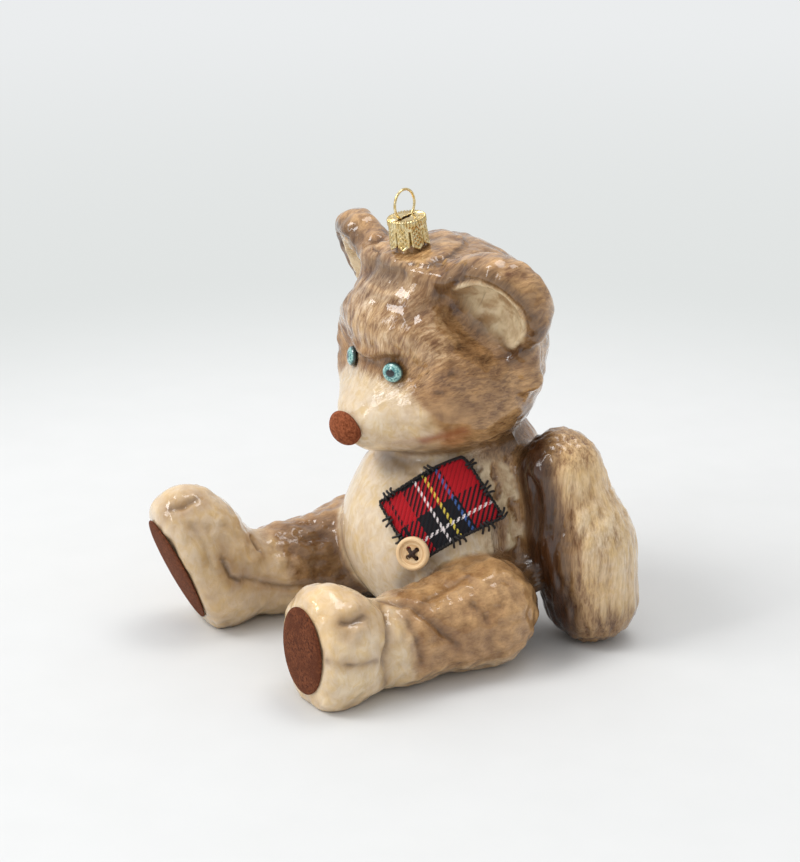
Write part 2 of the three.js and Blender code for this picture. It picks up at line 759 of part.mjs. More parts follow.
function nose() {
  const frame = frameAt(vec(0, -HEAD_DEPTH, muzzleHeight - MUZZLE_DROP - NOSE_DROP), vec(0, 1, 0));
  return lay(dome(NOSE_WIDTH, NOSE_HEIGHT, NOSE_DOME), frame, SEAT_GAP);
}

// Soles

function footPad(foot) {
  const { centre, facing } = footFrame(foot);
  const frame = frameAt(centre.clone().addScaledVector(facing, FOOT_LENGTH), facing.clone().negate());
  const spread = Math.sqrt(1 - (SOLE_DEPTH / (FOOT_LENGTH / 2)) ** 2);
  const width = FOOT_WIDTH * spread - 2 * PAD_INSET;
  const height = foot.height * spread - 2 * PAD_INSET;
  return lay(dome(width, height, PAD_THICKNESS), frame, SEAT_GAP);
}

// Patch

function patchFrame() {
  const outward = vec(Math.sin(rad(PATCH_TURN)), -Math.cos(rad(PATCH_TURN)), 0);
  const start = outward.clone().multiplyScalar(BELLY_WIDTH).setZ(chestHeight - PATCH_DROP);
  return frameAt(start, outward.clone().negate(), PATCH_SPIN);
}

const patchPlace = patchFrame();

function slab(length, width, thickness, x, y, spin = 0, cells = 2) {
  const columns = Math.max(1, Math.round(length / cells));
  const rows = Math.max(1, Math.round(width / cells));
  const box = new THREE.BoxGeometry(length, width, thickness, columns, rows, 1);
  return box.translate(0, 0, thickness / 2).rotateZ(spin).translate(x, y, 0);
}

function tartanPatch() {
  return lay(slab(PATCH_LENGTH, PATCH_WIDTH, PATCH_THICKNESS, 0, 0), patchPlace, PATCH_GAP);
}

const overPatch = PATCH_THICKNESS + SEAT_GAP;

// A fan of stitches across the patch's edge at the given place
function tuft(x, y, outward) {
  const stitches = [];
  for (let n = 0; n < STITCHES_PER_TUFT; n++) {
    const place = n - (STITCHES_PER_TUFT - 1) / 2;
    const turn = rad(place * STITCH_FAN);
    const bar = slab(STITCH_LENGTH, STITCH_WIDTH, STITCH_WIDTH, 0, 0, turn, STITCH_LENGTH);
    bar.translate(0, place * STITCH_SPACING, overPatch).rotateZ(outward);
    stitches.push(bar.translate(x, y, 0));
  }
  return stitches;
}

// The thread: a border just outside the patch, and fans of stitches that cross its edge
function patchStitching() {
  const high = overPatch + STITCH_WIDTH;
  const alongX = PATCH_LENGTH / 2 + SEAT_GAP + BORDER_WIDTH / 2;
  const alongY = PATCH_WIDTH / 2 + SEAT_GAP + BORDER_WIDTH / 2;
  const bars = [];
  for (const side of [-1, 1]) {
    bars.push(slab(2 * alongX + BORDER_WIDTH, BORDER_WIDTH, high, 0, side * alongY));
    bars.push(slab(BORDER_WIDTH, 2 * alongY + BORDER_WIDTH, high, side * alongX, 0));
    for (let n = 0; n < TUFTS_PER_LONG_SIDE; n++) {
      const x = ((n + 0.5) / TUFTS_PER_LONG_SIDE - 0.5) * PATCH_LENGTH;
      bars.push(...tuft(x, side * alongY, (side * Math.PI) / 2));
    }
    for (let n = 0; n < TUFTS_PER_SHORT_SIDE; n++) {
      const y = ((n + 0.5) / TUFTS_PER_SHORT_SIDE - 0.5) * PATCH_WIDTH;
      bars.push(...tuft(side * alongX, y, side > 0 ? 0 : Math.PI));
    }
  }
  return fuse(...bars.map((bar) => lay(bar, patchPlace, PATCH_GAP)));
}

// Button

const buttonAlong = BUTTON_FROM_END - PATCH_LENGTH / 2;
const buttonAcross = BUTTON_FROM_SIDE - PATCH_WIDTH / 2;
const buttonPlace = frameAt(
  placeIn(patchPlace, buttonAlong, buttonAcross, PROBE_START),
  patchPlace.outward.clone().negate(),
);
const threadTop = PATCH_GAP + overPatch + STITCH_WIDTH;
const buttonLift = Math.max(0, reachUnder(buttonPlace, BUTTON_DIAMETER)) + threadTop + SEAT_GAP;

function buttonHoles(diameter, low, high) {
  const reach = BUTTON_HOLE_SPACING / 2;
  const holes = [];
  for (const [x, y] of [[reach, reach], [-reach, reach], [-reach, -reach], [reach, -reach]]) {
    const hole = turned([[0, low], [diameter / 2, low], [diameter / 2, high], [0, high]], 12);
    holes.push(hole.translate(x, y, 0));
  }
  return holes;
}

function button() {
  const radius = BUTTON_DIAMETER / 2;
  const disc = turned([
    [0, 0],
    [radius - BUTTON_FOOT_CHAMFER, 0],
    [radius, BUTTON_FOOT_CHAMFER],
    [radius, BUTTON_THICKNESS - BUTTON_EDGE_ROUND],
    [radius - BUTTON_EDGE_ROUND, BUTTON_THICKNESS],
    [radius - BUTTON_RIM + BUTTON_DISH / 2, BUTTON_THICKNESS],
    [radius - BUTTON_RIM, BUTTON_THICKNESS - BUTTON_DISH],
    [0, BUTTON_THICKNESS - BUTTON_DISH],
  ]);
  return stand(cut(disc, ...buttonHoles(BUTTON_HOLE, -1, BUTTON_THICKNESS + 1)), buttonPlace, buttonLift);
}

function buttonThread() {
  const top = BUTTON_THICKNESS - BUTTON_DISH + SEAT_GAP;
  const legs = buttonHoles(buttonThreadDiameter, 0, top + buttonThreadDiameter);
  const length = Math.SQRT2 * BUTTON_HOLE_SPACING + buttonThreadDiameter;
  const bars = [1, -1].map((side) => {
    const bar = slab(length, buttonThreadDiameter, buttonThreadDiameter, 0, 0, (side * Math.PI) / 4);
    return bar.translate(0, 0, top);
  });
  return stand(fuse(...bars, ...legs), buttonPlace, buttonLift);
}

// Assembly

const lacquer = new THREE.MeshStandardMaterial({ color: 0x8a6a50, roughness: 0.12, metalness: 0 });
const gold = new THREE.MeshStandardMaterial({ color: 0xd9b25a, roughness: 0.25, metalness: 1 });
const teal = new THREE.MeshStandardMaterial({ color: 0x3f8f95, roughness: 0.08, metalness: 0 });
const flock = new THREE.MeshStandardMaterial({ color: 0x7a4638, roughness: 0.95, metalness: 0 });
const tartan = new THREE.MeshStandardMaterial({ color: 0xa02028, roughness: 0.85, metalness: 0 });
const blackThread = new THREE.MeshStandardMaterial({ color: 0x151312, roughness: 0.8, metalness: 0 });
const brownThread = new THREE.MeshStandardMaterial({ color: 0x3a2418, roughness: 0.8, metalness: 0 });
const horn = new THREE.MeshStandardMaterial({ color: 0xcfae83, roughness: 0.4, metalness: 0 });

const ornament = new THREE.Group();

function addPart(name, geometry, material) {
  const mesh = new THREE.Mesh(geometry, material);
  mesh.name = name;
  ornament.add(mesh);
}

addPart('glass_bear', glassBear(), lacquer);
addPart('cap', cap(), gold);
addPart('hanger_wire', hangerWire(), gold);
addPart('left_eye', eye(1), teal);
addPart('right_eye', eye(-1), teal);
addPart('nose', nose(), flock);
addPart('left_foot_pad', footPad(FEET.left), flock);
addPart('right_foot_pad', footPad(FEET.right), flock);
addPart('tartan_patch', tartanPatch(), tartan);
addPart('patch_stitching', patchStitching(), blackThread);
addPart('button', button(), horn);
addPart('button_thread', buttonThread(), brownThread);

export default ornament;
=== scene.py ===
"""The looks of a hanging ornament: a seated, patched teddy bear of lacquered blown glass."""

from math import copysign, cos, exp, pi, radians, sin, sqrt

import bmesh
import bpy
import numpy as np
from mathutils import Matrix, Vector, noise


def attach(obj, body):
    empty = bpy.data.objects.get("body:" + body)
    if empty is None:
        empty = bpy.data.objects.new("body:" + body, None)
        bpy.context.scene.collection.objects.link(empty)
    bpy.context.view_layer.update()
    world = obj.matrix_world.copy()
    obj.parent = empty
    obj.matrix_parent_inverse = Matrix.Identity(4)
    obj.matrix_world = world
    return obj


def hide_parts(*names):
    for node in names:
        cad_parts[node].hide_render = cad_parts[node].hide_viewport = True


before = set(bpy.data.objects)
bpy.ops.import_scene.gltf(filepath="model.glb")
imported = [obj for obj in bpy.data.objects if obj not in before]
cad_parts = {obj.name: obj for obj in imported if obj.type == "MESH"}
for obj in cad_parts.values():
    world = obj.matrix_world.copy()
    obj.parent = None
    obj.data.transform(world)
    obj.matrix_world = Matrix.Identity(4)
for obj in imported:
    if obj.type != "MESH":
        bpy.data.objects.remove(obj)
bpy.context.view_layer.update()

# Sizes in millimetres, as in the solid model: torso
BELLY_WIDTH = 56
BELLY_DEPTH = 52
BELLY_HEIGHT = 51
CHEST_WIDTH = 46
CHEST_DEPTH = 40
CHEST_HEIGHT = 36
CHEST_SINK = 8.1
CHEST_SET_BACK = 8
SEAT_FLAT = 0.9

# Head
HEAD_WIDTH = 58
HEAD_DEPTH = 53
HEAD_HEIGHT = 53
HEAD_SINK = 10.1
HEAD_FORWARD = 0.8
CROWN_WIDTH = 45
CROWN_DEPTH = 38
CROWN_HEIGHT = 40
CROWN_BACK = 5
CROWN_RISE = 4.6
CHEEK_WIDTH = 54
CHEEK_DEPTH = 41
CHEEK_HEIGHT = 30
CHEEK_DROP = 10.4
CHEEK_FORWARD = 1.5
MUZZLE_REACH = 22
MUZZLE_LOW = 14.4
MUZZLE_ROOT_WIDTH = 25
MUZZLE_TIP_WIDTH = 17
MUZZLE_DROP = 2
BROW_HOLLOW_WIDTH = 16
BROW_HOLLOW_DEPTH = 0.6
BROW_REACH = 16
BROW_SWEEP = 8
BROW_RISE = 1

# Ears
EAR_DIAMETER = 27
EAR_RIM = 7
EAR_RIM_END = 4.6
EAR_WALL = 7
EAR_HOLLOW_DEPTH = 4.6
EAR_HOLLOW_WIDTH = 19.5
EAR_HOLLOW_LENGTH = 18.5
EAR_HOLLOW_INSET = 3
EAR_ROOT_SPREAD = 32
EAR_STAND = 13
EAR_LOBE_DROP = 21
EAR_LOBE_STAND = 9
EAR_LIFT = 4.55
EAR_UP_ANGLE = 30
EAR_FORWARD_ANGLE = 6.4
EAR_TURN = 20
EAR_TIP_FORWARD = 24
EAR_ROLL = 36
EAR_RIM_BLEND = 1

# Arms
SHOULDER_DIAMETER = 21
FOREARM_DIAMETER = 24.5
PAW_DIAMETER = 25
SHOULDER_SIDE = 31.5
SHOULDER_BACK = 15
SHOULDER_RISE = 5
PAW_SIDE = 36
PAW_BACK = 22.5
ELBOW_SHARE = 0.6
ELBOW_BULGE = 0.5

# Legs and feet
THIGH_DIAMETER = 28.5
ANKLE_DIAMETER = 21
SHIN_LENGTH = 22
LEFT_HIP_SIDE = 31
RIGHT_HIP_SIDE = 24
HIP_FORWARD = 10
LEFT_FOOT_SIDE = 27
LEFT_FOOT_FORWARD = 54.5
LEFT_FOOT_HEIGHT = 30.5
LEFT_SOLE_TILT = 0
RIGHT_FOOT_SIDE = 31
RIGHT_FOOT_FORWARD = 56
RIGHT_FOOT_HEIGHT = 41.5
RIGHT_SOLE_TILT = 24
FOOT_WIDTH = 27
FOOT_LENGTH = 28
SOLE_DEPTH = 7.5

# How softly one form runs into the next, in the solid model and on the fine surface
TORSO_BLEND = 12
HEAD_BLEND = 9
BROW_BLEND = 6
SOLE_BLEND = 3
SOFT_BLENDS = {"ear": 5, "hollow": 4, "cheek": 6, "arm": 8, "limb": 8, "foot": 5, "neck": 5}
CRISP_BLENDS = {"ear": 5, "hollow": 1.2, "cheek": 9, "arm": 5.5, "limb": 3.6, "foot": 6, "neck": 2.6}

# Cap, neck and hanger
CAP_FORWARD = 10
CAP_TILT = 9
CAP_TOP_DIAMETER = 10
CAP_SKIRT_DIAMETER = 10.8
CAP_HEIGHT = 7.4
CAP_WALL = 0.4
CAP_BAND_HEIGHT = 1.6
CAP_BAND_STEP = 0.3
CAP_BAND_SHARE = 0.25
CAP_EDGE = 0.25
CAP_FLARE = 0.4
CAP_FLARE_HEIGHT = 0.8
CAP_PETALS = 8
CAP_COLUMNS_PER_PETAL = 24
CAP_TEETH = 40
CAP_TOOTH = 0.1
CAP_TOP_TOOTH = 0.12
CAP_SLIT_HEIGHT = 4.6
CAP_TURN = 14.5
COLLAR_DIAMETER = 15
COLLAR_HEIGHT = 1.6
WIRE_DIAMETER = 0.7
LOOP_DIAMETER = 8.4
LOOP_FOOT_ANGLE = 55
WIRE_LEG_DEPTH = 7
NECK_WALL = 0.6

# Eyes, nose and sole pads
EYE_DIAMETER = 5.6
EYE_DOME = 2
EYE_SPACING = 17
EYE_DROP = 2.4
EYE_SHADE_WIDTH = 5.2
NOSE_WIDTH = 10
NOSE_HEIGHT = 7.8
NOSE_DOME = 3.3
NOSE_DROP = 1.4
PAD_INSET = 1.8
PAD_THICKNESS = 0.9

# Patch, stitching and button
PATCH_LENGTH = 24
PATCH_WIDTH = 18.4
PATCH_THICKNESS = 0.7
PATCH_GAP = 0.7
PATCH_TURN = 52
PATCH_DROP = 3.4
PATCH_SPIN = 35
THREAD_PITCH = 0.38
STITCH_WIDTH = 0.7
OVERCAST_STEP = 0.46
TUFT_INSET = 0.9
TUFT_LENGTH = 2.7
BORDER_THREAD_RADIUS = 0.26
OVERCAST_THREAD_RADIUS = 0.17
TUFT_THREAD_RADIUS = 0.33
BUTTON_THREAD_RADIUS = 0.25
BUTTON_DIAMETER = 8.8
BUTTON_THICKNESS = 2
BUTTON_DISH = 0.6
BUTTON_HOLE_SPACING = 2.2
BUTTON_FROM_END = 1.7
BUTTON_FROM_SIDE = 3
BUTTON_BEVEL = 0.12
SEAT_GAP = 0.3

# How points are moved onto a surface: where they start, the rounds, and the step, slope and move allowed
PROBE_START = 12
MARCH_ROUNDS = 160
MARCH_SHARE = 0.8
MARCH_END = 1e-4
SETTLE_ROUNDS = 4
SETTLE_REACH = 1.5
SLOPE_STEP = 0.05
LEAST_SLOPE = 0.2

# The paint's areas: how far two of them mix, the strokes round the head, the pale muzzle with its half sizes,
# the way that the pale side of an arm faces, the pale cup of an ear and the rubbed mark on the cheek
REGION_FADE = 0.8
FUR_RADIUS = 30
MUZZLE_PALE_SIDE = 23
MUZZLE_PALE_LENGTH = 20
MUZZLE_PALE_RISE = 13
MUZZLE_PALE_AHEAD = 4
MUZZLE_PALE_DROP = 2.5
ARM_PALE_OUT = 0.59
ARM_PALE_BACK = 0.81
EAR_CUP_EDGE = -9.2
EAR_CUP_BOW = 0.025
RUST_LINE = ((424, 441), (440, 437), (463, 431))
RUST_WIDTH = 1.6

# The photograph's camera: angles in degrees, lengths in millimetres, picture sizes in pixels
VIEW_AZIMUTH = 54
VIEW_ELEVATION = 19
VIEW_DISTANCE = 600
VIEW_TARGET = np.array([-3.1, -11.2, 52.9])
VIEW_FOCUS = 2290
PICTURE_WIDTH = 800
PICTURE_HEIGHT = 862
SENSOR = 36

# The room's light, as the strength of its dark and bright sides, and its share in reflections
ROOM_DARK = 0.43
ROOM_BRIGHT = 1.04
ROOM_MIRRORED = 0.85
ROOM_COLOUR = (0.95, 0.96, 0.97, 1)
BACKGROUND = "ebedee"
WALL_FOOT = "e1e4e3"
FLOOR_REACH = 4000
FLOOR_DROP = 0.1
FLOOR_DARK = (0.655, 0.66, 0.655, 1)
FLOOR_LIGHT = (0.685, 0.688, 0.685, 1)

# Lamps: metres to the picture's right, up and toward the camera, size in metres, and power in watts
LAMPS = {
    "key": ((-0.8, 1.1, 0.15), (0.5, 0.5), 7.2),
    "window": ((-1.1, 0.65, 0.65), (0.16, 0.8), 2.4),
    "top": ((0.25, 1.2, -0.2), (0.6, 0.4), 3.2),
}
LAMP_TARGET = (0, 0, 0.06)

CHEST_CENTRE_HEIGHT = BELLY_HEIGHT - SEAT_FLAT - CHEST_SINK
HEAD_CENTRE_HEIGHT = CHEST_CENTRE_HEIGHT + CHEST_HEIGHT / 2 - HEAD_SINK + HEAD_HEIGHT / 2
HEAD_CENTRE = np.array([0, -HEAD_FORWARD, HEAD_CENTRE_HEIGHT])
MUZZLE_CENTRE_HEIGHT = HEAD_CENTRE_HEIGHT - MUZZLE_LOW
EYE_CENTRE_HEIGHT = HEAD_CENTRE_HEIGHT - EYE_DROP
NECK_BORE = CAP_TOP_DIAMETER - 2 * (CAP_BAND_STEP + CAP_WALL + SEAT_GAP + NECK_WALL)
WIRE_LEG_SPREAD = NECK_BORE - WIRE_DIAMETER - 2 * SEAT_GAP
OVER_PATCH = PATCH_THICKNESS + SEAT_GAP
SIDES = (1, -1)
SIDE_NAMES = {1: "left", -1: "right"}


def vec(x, y, z):
    return np.array([x, y, z], float)


def unit(vector):
    return vector / np.linalg.norm(vector)


def lengths(rows):
    return np.linalg.norm(rows, axis=1)


def unit_rows(rows):
    return rows / np.maximum(lengths(rows), 1e-6)[:, None]


def turn_about(axis, degrees):
    return np.array(Matrix.Rotation(radians(degrees), 3, axis))


def turn_between(start, end):
    return np.array(Vector(start).rotation_difference(Vector(end)).to_matrix())


def smooth(low, high, value):
    """A soft step from 0 at low to 1 at high."""
    share = np.clip((value - low) / (high - low), 0, 1)
    return share * share * (3 - 2 * share)


def fade(low, high, value):
    return 1 - smooth(low, high, value)


def bell(value, width):
    return np.exp(-(value / width) ** 2)


def circle(count):
    return np.linspace(0, 2 * pi, count, endpoint=False)


# Fields: the distance of points to a form, negative inside it

def ellipsoid(points, centre, size, turn=None):
    local = points - centre
    if turn is not None:
        local = local @ turn
    radii = np.array(size) / 2
    scaled = local / radii
    reach = lengths(scaled)
    slope = np.maximum(lengths(scaled / radii), 1e-6)
    return reach * (reach - 1) / slope


def taper(points, start, end, start_diameter, end_diameter):
    along = end - start
    length2 = along @ along
    shrink = (start_diameter - end_diameter) / 2
    slant2 = length2 - shrink * shrink
    offset = points - start
    near = offset @ along
    far = near - length2
    across = offset * length2 - near[:, None] * along
    across2 = np.einsum("ij,ij->i", across, across)
    near2 = near * near * length2
    far2 = far * far * length2
    limit = np.sign(shrink) * shrink * shrink * across2
    side = (np.sqrt(across2 * slant2 / length2) + near * shrink) / length2 - start_diameter / 2
    first = np.sqrt(across2 + near2) / length2 - start_diameter / 2
    last = np.sqrt(across2 + far2) / length2 - end_diameter / 2
    level = np.where(np.sign(near) * slant2 * near2 < limit, first, side)
    return np.where(np.sign(far) * slant2 * far2 > limit, last, level)


def soft_min(first, second, softness):
    mix = np.maximum(softness - np.abs(first - second), 0) / softness
    return np.minimum(first, second) - mix * mix * softness / 4


def join(softness, *levels):
    total = levels[0]
    for level in levels[1:]:
        total = soft_min(total, level, softness)
    return total


def carve(softness, level, tool):
    return -soft_min(-level, tool, softness)


def torso_level(points):
    belly_centre = vec(0, 0, BELLY_HEIGHT / 2 - SEAT_FLAT)
    belly = ellipsoid(points, belly_centre, (BELLY_WIDTH, BELLY_DEPTH, BELLY_HEIGHT))
    chest_centre = vec(0, CHEST_SET_BACK, CHEST_CENTRE_HEIGHT)
    chest = ellipsoid(points, chest_centre, (CHEST_WIDTH, CHEST_DEPTH, CHEST_HEIGHT))
    return join(TORSO_BLEND, belly, chest)


def head_level(points):
    skull = ellipsoid(points, HEAD_CENTRE, (HEAD_WIDTH, HEAD_DEPTH, HEAD_HEIGHT))
    crown_centre = vec(0, CROWN_BACK, HEAD_CENTRE_HEIGHT + CROWN_RISE)
    crown = ellipsoid(points, crown_centre, (CROWN_WIDTH, CROWN_DEPTH, CROWN_HEIGHT))
    cheek_centre = vec(0, -CHEEK_FORWARD, HEAD_CENTRE_HEIGHT - CHEEK_DROP)
    cheeks = ellipsoid(points, cheek_centre, (CHEEK_WIDTH, CHEEK_DEPTH, CHEEK_HEIGHT))
    root = vec(0, -MUZZLE_REACH / 2, MUZZLE_CENTRE_HEIGHT + MUZZLE_DROP)
    tip = vec(0, -MUZZLE_REACH, MUZZLE_CENTRE_HEIGHT - MUZZLE_DROP)
    muzzle = taper(points, root, tip, MUZZLE_ROOT_WIDTH, MUZZLE_TIP_WIDTH)
    ahead = HEAD_DEPTH / 2 + HEAD_FORWARD + BROW_HOLLOW_WIDTH / 2 - BROW_HOLLOW_DEPTH
    between = vec(0, -ahead, EYE_CENTRE_HEIGHT + BROW_RISE)
    brows = []
    for side in SIDES:
        beside = between + vec(side * BROW_REACH, BROW_SWEEP, 0)
        brows.append(taper(points, between, beside, BROW_HOLLOW_WIDTH, BROW_HOLLOW_WIDTH))
    return carve(BROW_BLEND, join(HEAD_BLEND, skull, crown, cheeks, muzzle), join(BROW_BLEND, *brows))


def meet(field, start, direction):
    """The points where straight lines from outside meet the surface of a field."""
    points = np.array(start, float)
    for _ in range(MARCH_ROUNDS):
        level = field(points)
        points = points + direction * (MARCH_SHARE * level)[:, None]
        if np.max(np.abs(level)) < MARCH_END:
            break
    return points


def slope_at(field, points):
    slope = np.zeros_like(points)
    for axis in range(3):
        shift = np.zeros(3)
        shift[axis] = SLOPE_STEP
        slope[:, axis] = (field(points + shift) - field(points - shift)) / (2 * SLOPE_STEP)
    return slope


def normals_at(field, points):
    return unit_rows(slope_at(field, points))


def ear_place(side):
    """The turn of an ear, and a function that gives points in it: down, out and ahead of its middle."""
    aim = turn_about("Z", -side * EAR_FORWARD_ANGLE) @ turn_about("Y", -side * EAR_UP_ANGLE)
    away = aim @ vec(side, 0, 0)
    seat = meet(head_level, [HEAD_CENTRE + 2 * HEAD_WIDTH * away], -away)[0]
    centre = seat + EAR_LIFT * away
    lean = turn_about("Z", side * EAR_TURN) @ turn_about("X", EAR_TIP_FORWARD)
    turn = lean @ turn_about("Y", -side * EAR_ROLL)
    return turn, lambda down, out, ahead: centre + turn @ vec(side * out, -ahead, -down)


EAR_PLACES = {side: ear_place(side) for side in SIDES}


def ear_rim_level(points, side):
    place = EAR_PLACES[side][1]
    curve = (EAR_DIAMETER - EAR_RIM) / 2
    path = [place(-EAR_ROOT_SPREAD / 2, -EAR_STAND, 0)]
    for degrees in range(190, -11, -25):
        angle = radians(degrees)
        path.append(place(curve * cos(angle), curve * sin(angle), 0))
    path.append(place(EAR_LOBE_DROP, -EAR_LOBE_STAND, 0))
    widths = [EAR_RIM_END] + [EAR_RIM] * (len(path) - 2) + [EAR_RIM_END]
    runs = []
    for n in range(len(path) - 1):
        runs.append(taper(points, path[n], path[n + 1], widths[n], widths[n + 1]))
    return join(EAR_RIM_BLEND, *runs)


def ear_level(points, side, softness):
    turn, place = EAR_PLACES[side]
    wall_centre = place(0, -EAR_STAND / 3, EAR_RIM / 2 - EAR_HOLLOW_DEPTH - EAR_WALL / 2)
    wall = ellipsoid(points, wall_centre, (EAR_DIAMETER + EAR_STAND / 2, EAR_WALL, EAR_DIAMETER), turn)
    return join(softness, ear_rim_level(points, side), wall)


def ear_hollow_level(points, side):
    turn, place = EAR_PLACES[side]
    centre = place(0, -EAR_HOLLOW_INSET, EAR_RIM / 2)
    return ellipsoid(points, centre, (EAR_HOLLOW_WIDTH, 2 * EAR_HOLLOW_DEPTH, EAR_HOLLOW_LENGTH), turn)


def arm_level(points, side):
    shoulder = vec(side * SHOULDER_SIDE, SHOULDER_BACK, CHEST_CENTRE_HEIGHT + SHOULDER_RISE)
    paw = vec(side * PAW_SIDE, PAW_BACK, PAW_DIAMETER / 2 - SEAT_FLAT)
    elbow = shoulder + ELBOW_SHARE * (paw - shoulder) + vec(side * ELBOW_BULGE, ELBOW_BULGE, 0)
    upper = taper(points, shoulder, elbow, SHOULDER_DIAMETER, FOREARM_DIAMETER)
    lower = taper(points, elbow, paw, FOREARM_DIAMETER, PAW_DIAMETER)
    return join(SOFT_BLENDS["limb"], upper, lower)


def foot_frame(hip_side, foot_side, forward, height, tilt):
    """A leg's hip, and its foot's middle, height, turn and the way its sole faces."""
    centre = vec(foot_side, -forward, height / 2 - SEAT_FLAT)
    hip = vec(hip_side, -HIP_FORWARD, THIGH_DIAMETER / 2 - SEAT_FLAT)
    heading = unit(centre - vec(hip_side, -HIP_FORWARD, centre[2]))
    turn = turn_between((0, -1, 0), heading) @ turn_about("X", tilt)
    facing = turn @ vec(0, -1, 0)
    return {"hip": hip, "centre": centre, "height": height, "turn": turn, "facing": facing}


FEET = {
    "left": foot_frame(
        LEFT_HIP_SIDE, LEFT_FOOT_SIDE, LEFT_FOOT_FORWARD, LEFT_FOOT_HEIGHT, LEFT_SOLE_TILT,
    ),
    "right": foot_frame(
        -RIGHT_HIP_SIDE, -RIGHT_FOOT_SIDE, RIGHT_FOOT_FORWARD, RIGHT_FOOT_HEIGHT, RIGHT_SOLE_TILT,
    ),
}


def sole_distance(points, name):
    foot = FEET[name]
    return (foot["centre"] + SOLE_DEPTH * foot["facing"] - points) @ foot["facing"]


def leg_level(points, name, blends):
    foot = FEET[name]
    hip = foot["hip"]
    heel = vec(foot["centre"][0], foot["centre"][1], ANKLE_DIAMETER / 2 - SEAT_FLAT)
    knee = heel + SHIN_LENGTH * unit(hip - heel)
    thigh = taper(points, hip, knee, THIGH_DIAMETER, ANKLE_DIAMETER)
    shin = taper(points, knee, heel, ANKLE_DIAMETER, ANKLE_DIAMETER)
    ball = ellipsoid(points, foot["centre"], (FOOT_WIDTH, FOOT_LENGTH, foot["height"]), foot["turn"])
    return carve(SOLE_BLEND, join(blends["foot"], thigh, shin, ball), sole_distance(points, name))


def neck_place():
    start = vec(0, -CAP_FORWARD, HEAD_CENTRE_HEIGHT + HEAD_HEIGHT)
    origin = meet(head_level, [start], vec(0, 0, -1))[0]
    tilt = radians(CAP_TILT)
    turn = radians(CAP_TURN)
    outward = vec(0, -sin(tilt), cos(tilt))
    up = unit(np.cross(outward, vec(cos(turn), sin(turn), 0)))
    return {"origin": origin, "across": np.cross(up, outward), "up": up, "outward": outward}


NECK = neck_place()


def head_and_ears_level(points, blends):
    turn = turn_between((0, 0, 1), NECK["outward"])
    collar = ellipsoid(points, NECK["origin"], (COLLAR_DIAMETER, COLLAR_DIAMETER, COLLAR_HEIGHT), turn)
    whole = join(blends["ear"], head_level(points), collar)
    for side in SIDES:
        hollow = ear_hollow_level(points, side)
        ear = carve(blends["hollow"], ear_level(points, side, blends["ear"]), hollow)
        whole = join(blends["ear"], carve(blends["cheek"], whole, hollow), ear)
    return whole


def figure_level(points, blends):
    upper = join(blends["neck"], torso_level(points), head_and_ears_level(points, blends))
    arms = [arm_level(points, side) for side in SIDES]
    legs = [leg_level(points, name, blends) for name in FEET]
    return join(blends["limb"], join(blends["arm"], upper, *arms), *legs)


def soft_figure(points):
    return figure_level(points, SOFT_BLENDS)


def crisp_figure(points):
    return figure_level(points, CRISP_BLENDS)


# Places on the figure

def place_at(start, direction, spin=0):
    """A frame on the surface: across, up and outward, turned in its plane by spin degrees."""
    origin = meet(soft_figure, [start], direction)
    outward = normals_at(soft_figure, origin)[0]
    across = unit(np.cross(vec(0, 0, 1), outward))
    up = np.cross(outward, across)
    angle = radians(spin)
    turned = cos(angle) * across + sin(angle) * up
    return {"origin": origin[0], "across": turned, "up": np.cross(outward, turned), "outward": outward}


def in_place(place, points):
    """Points of a flat drawing, set upright in a frame without bending."""
    axes = np.array([place["across"], place["up"], place["outward"]])
    return place["origin"] + np.array(points, float) @ axes


def laid(place, points, gap):
    """Points of a flat drawing, bent over the figure a clear gap above its surface."""
    points = np.array(points, float)
    starts = in_place(place, np.column_stack([points[:, :2], np.full(len(points), PROBE_START)]))
    feet = meet(soft_figure, starts, -place["outward"])
    return feet + normals_at(soft_figure, feet) * (gap + points[:, 2])[:, None]


def reach_under(place, diameter):
    """How far the figure stands out under a disc that is set upright in a frame."""
    ring = [(cos(a) * diameter / 2, sin(a) * diameter / 2, PROBE_START) for a in circle(24)]
    spots = meet(soft_figure, in_place(place, ring), -place["outward"])
    return np.max((spots - place["origin"]) @ place["outward"])


def patch_place():
    turn = radians(PATCH_TURN)
    outward = vec(sin(turn), -cos(turn), 0)
    start = BELLY_WIDTH * outward + vec(0, 0, CHEST_CENTRE_HEIGHT - PATCH_DROP)
    return place_at(start, -outward, PATCH_SPIN)


def button_place():
    corner = (BUTTON_FROM_END - PATCH_LENGTH / 2, BUTTON_FROM_SIDE - PATCH_WIDTH / 2, PROBE_START)
    return place_at(in_place(PATCH, [corner])[0], -PATCH["outward"])


def eye_place(side):
    return place_at(vec(side * EYE_SPACING / 2, -HEAD_DEPTH, EYE_CENTRE_HEIGHT), vec(0, 1, 0))


EYE_PLACES = {side: eye_place(side) for side in SIDES}
PATCH = patch_place()
BUTTON = button_place()
CAP_LIFT = reach_under(NECK, CAP_SKIRT_DIAMETER) + SEAT_GAP
BUTTON_UNDER = PATCH_GAP + OVER_PATCH + STITCH_WIDTH + SEAT_GAP
BUTTON_LIFT = max(0, reach_under(BUTTON, BUTTON_DIAMETER)) + BUTTON_UNDER


# The photograph's view

def view_axes():
    azimuth = radians(VIEW_AZIMUTH)
    elevation = radians(VIEW_ELEVATION)
    right = vec(cos(azimuth), sin(azimuth), 0)
    flat = cos(elevation)
    back = vec(sin(azimuth) * flat, -cos(azimuth) * flat, sin(elevation))
    return right, np.cross(back, right), back


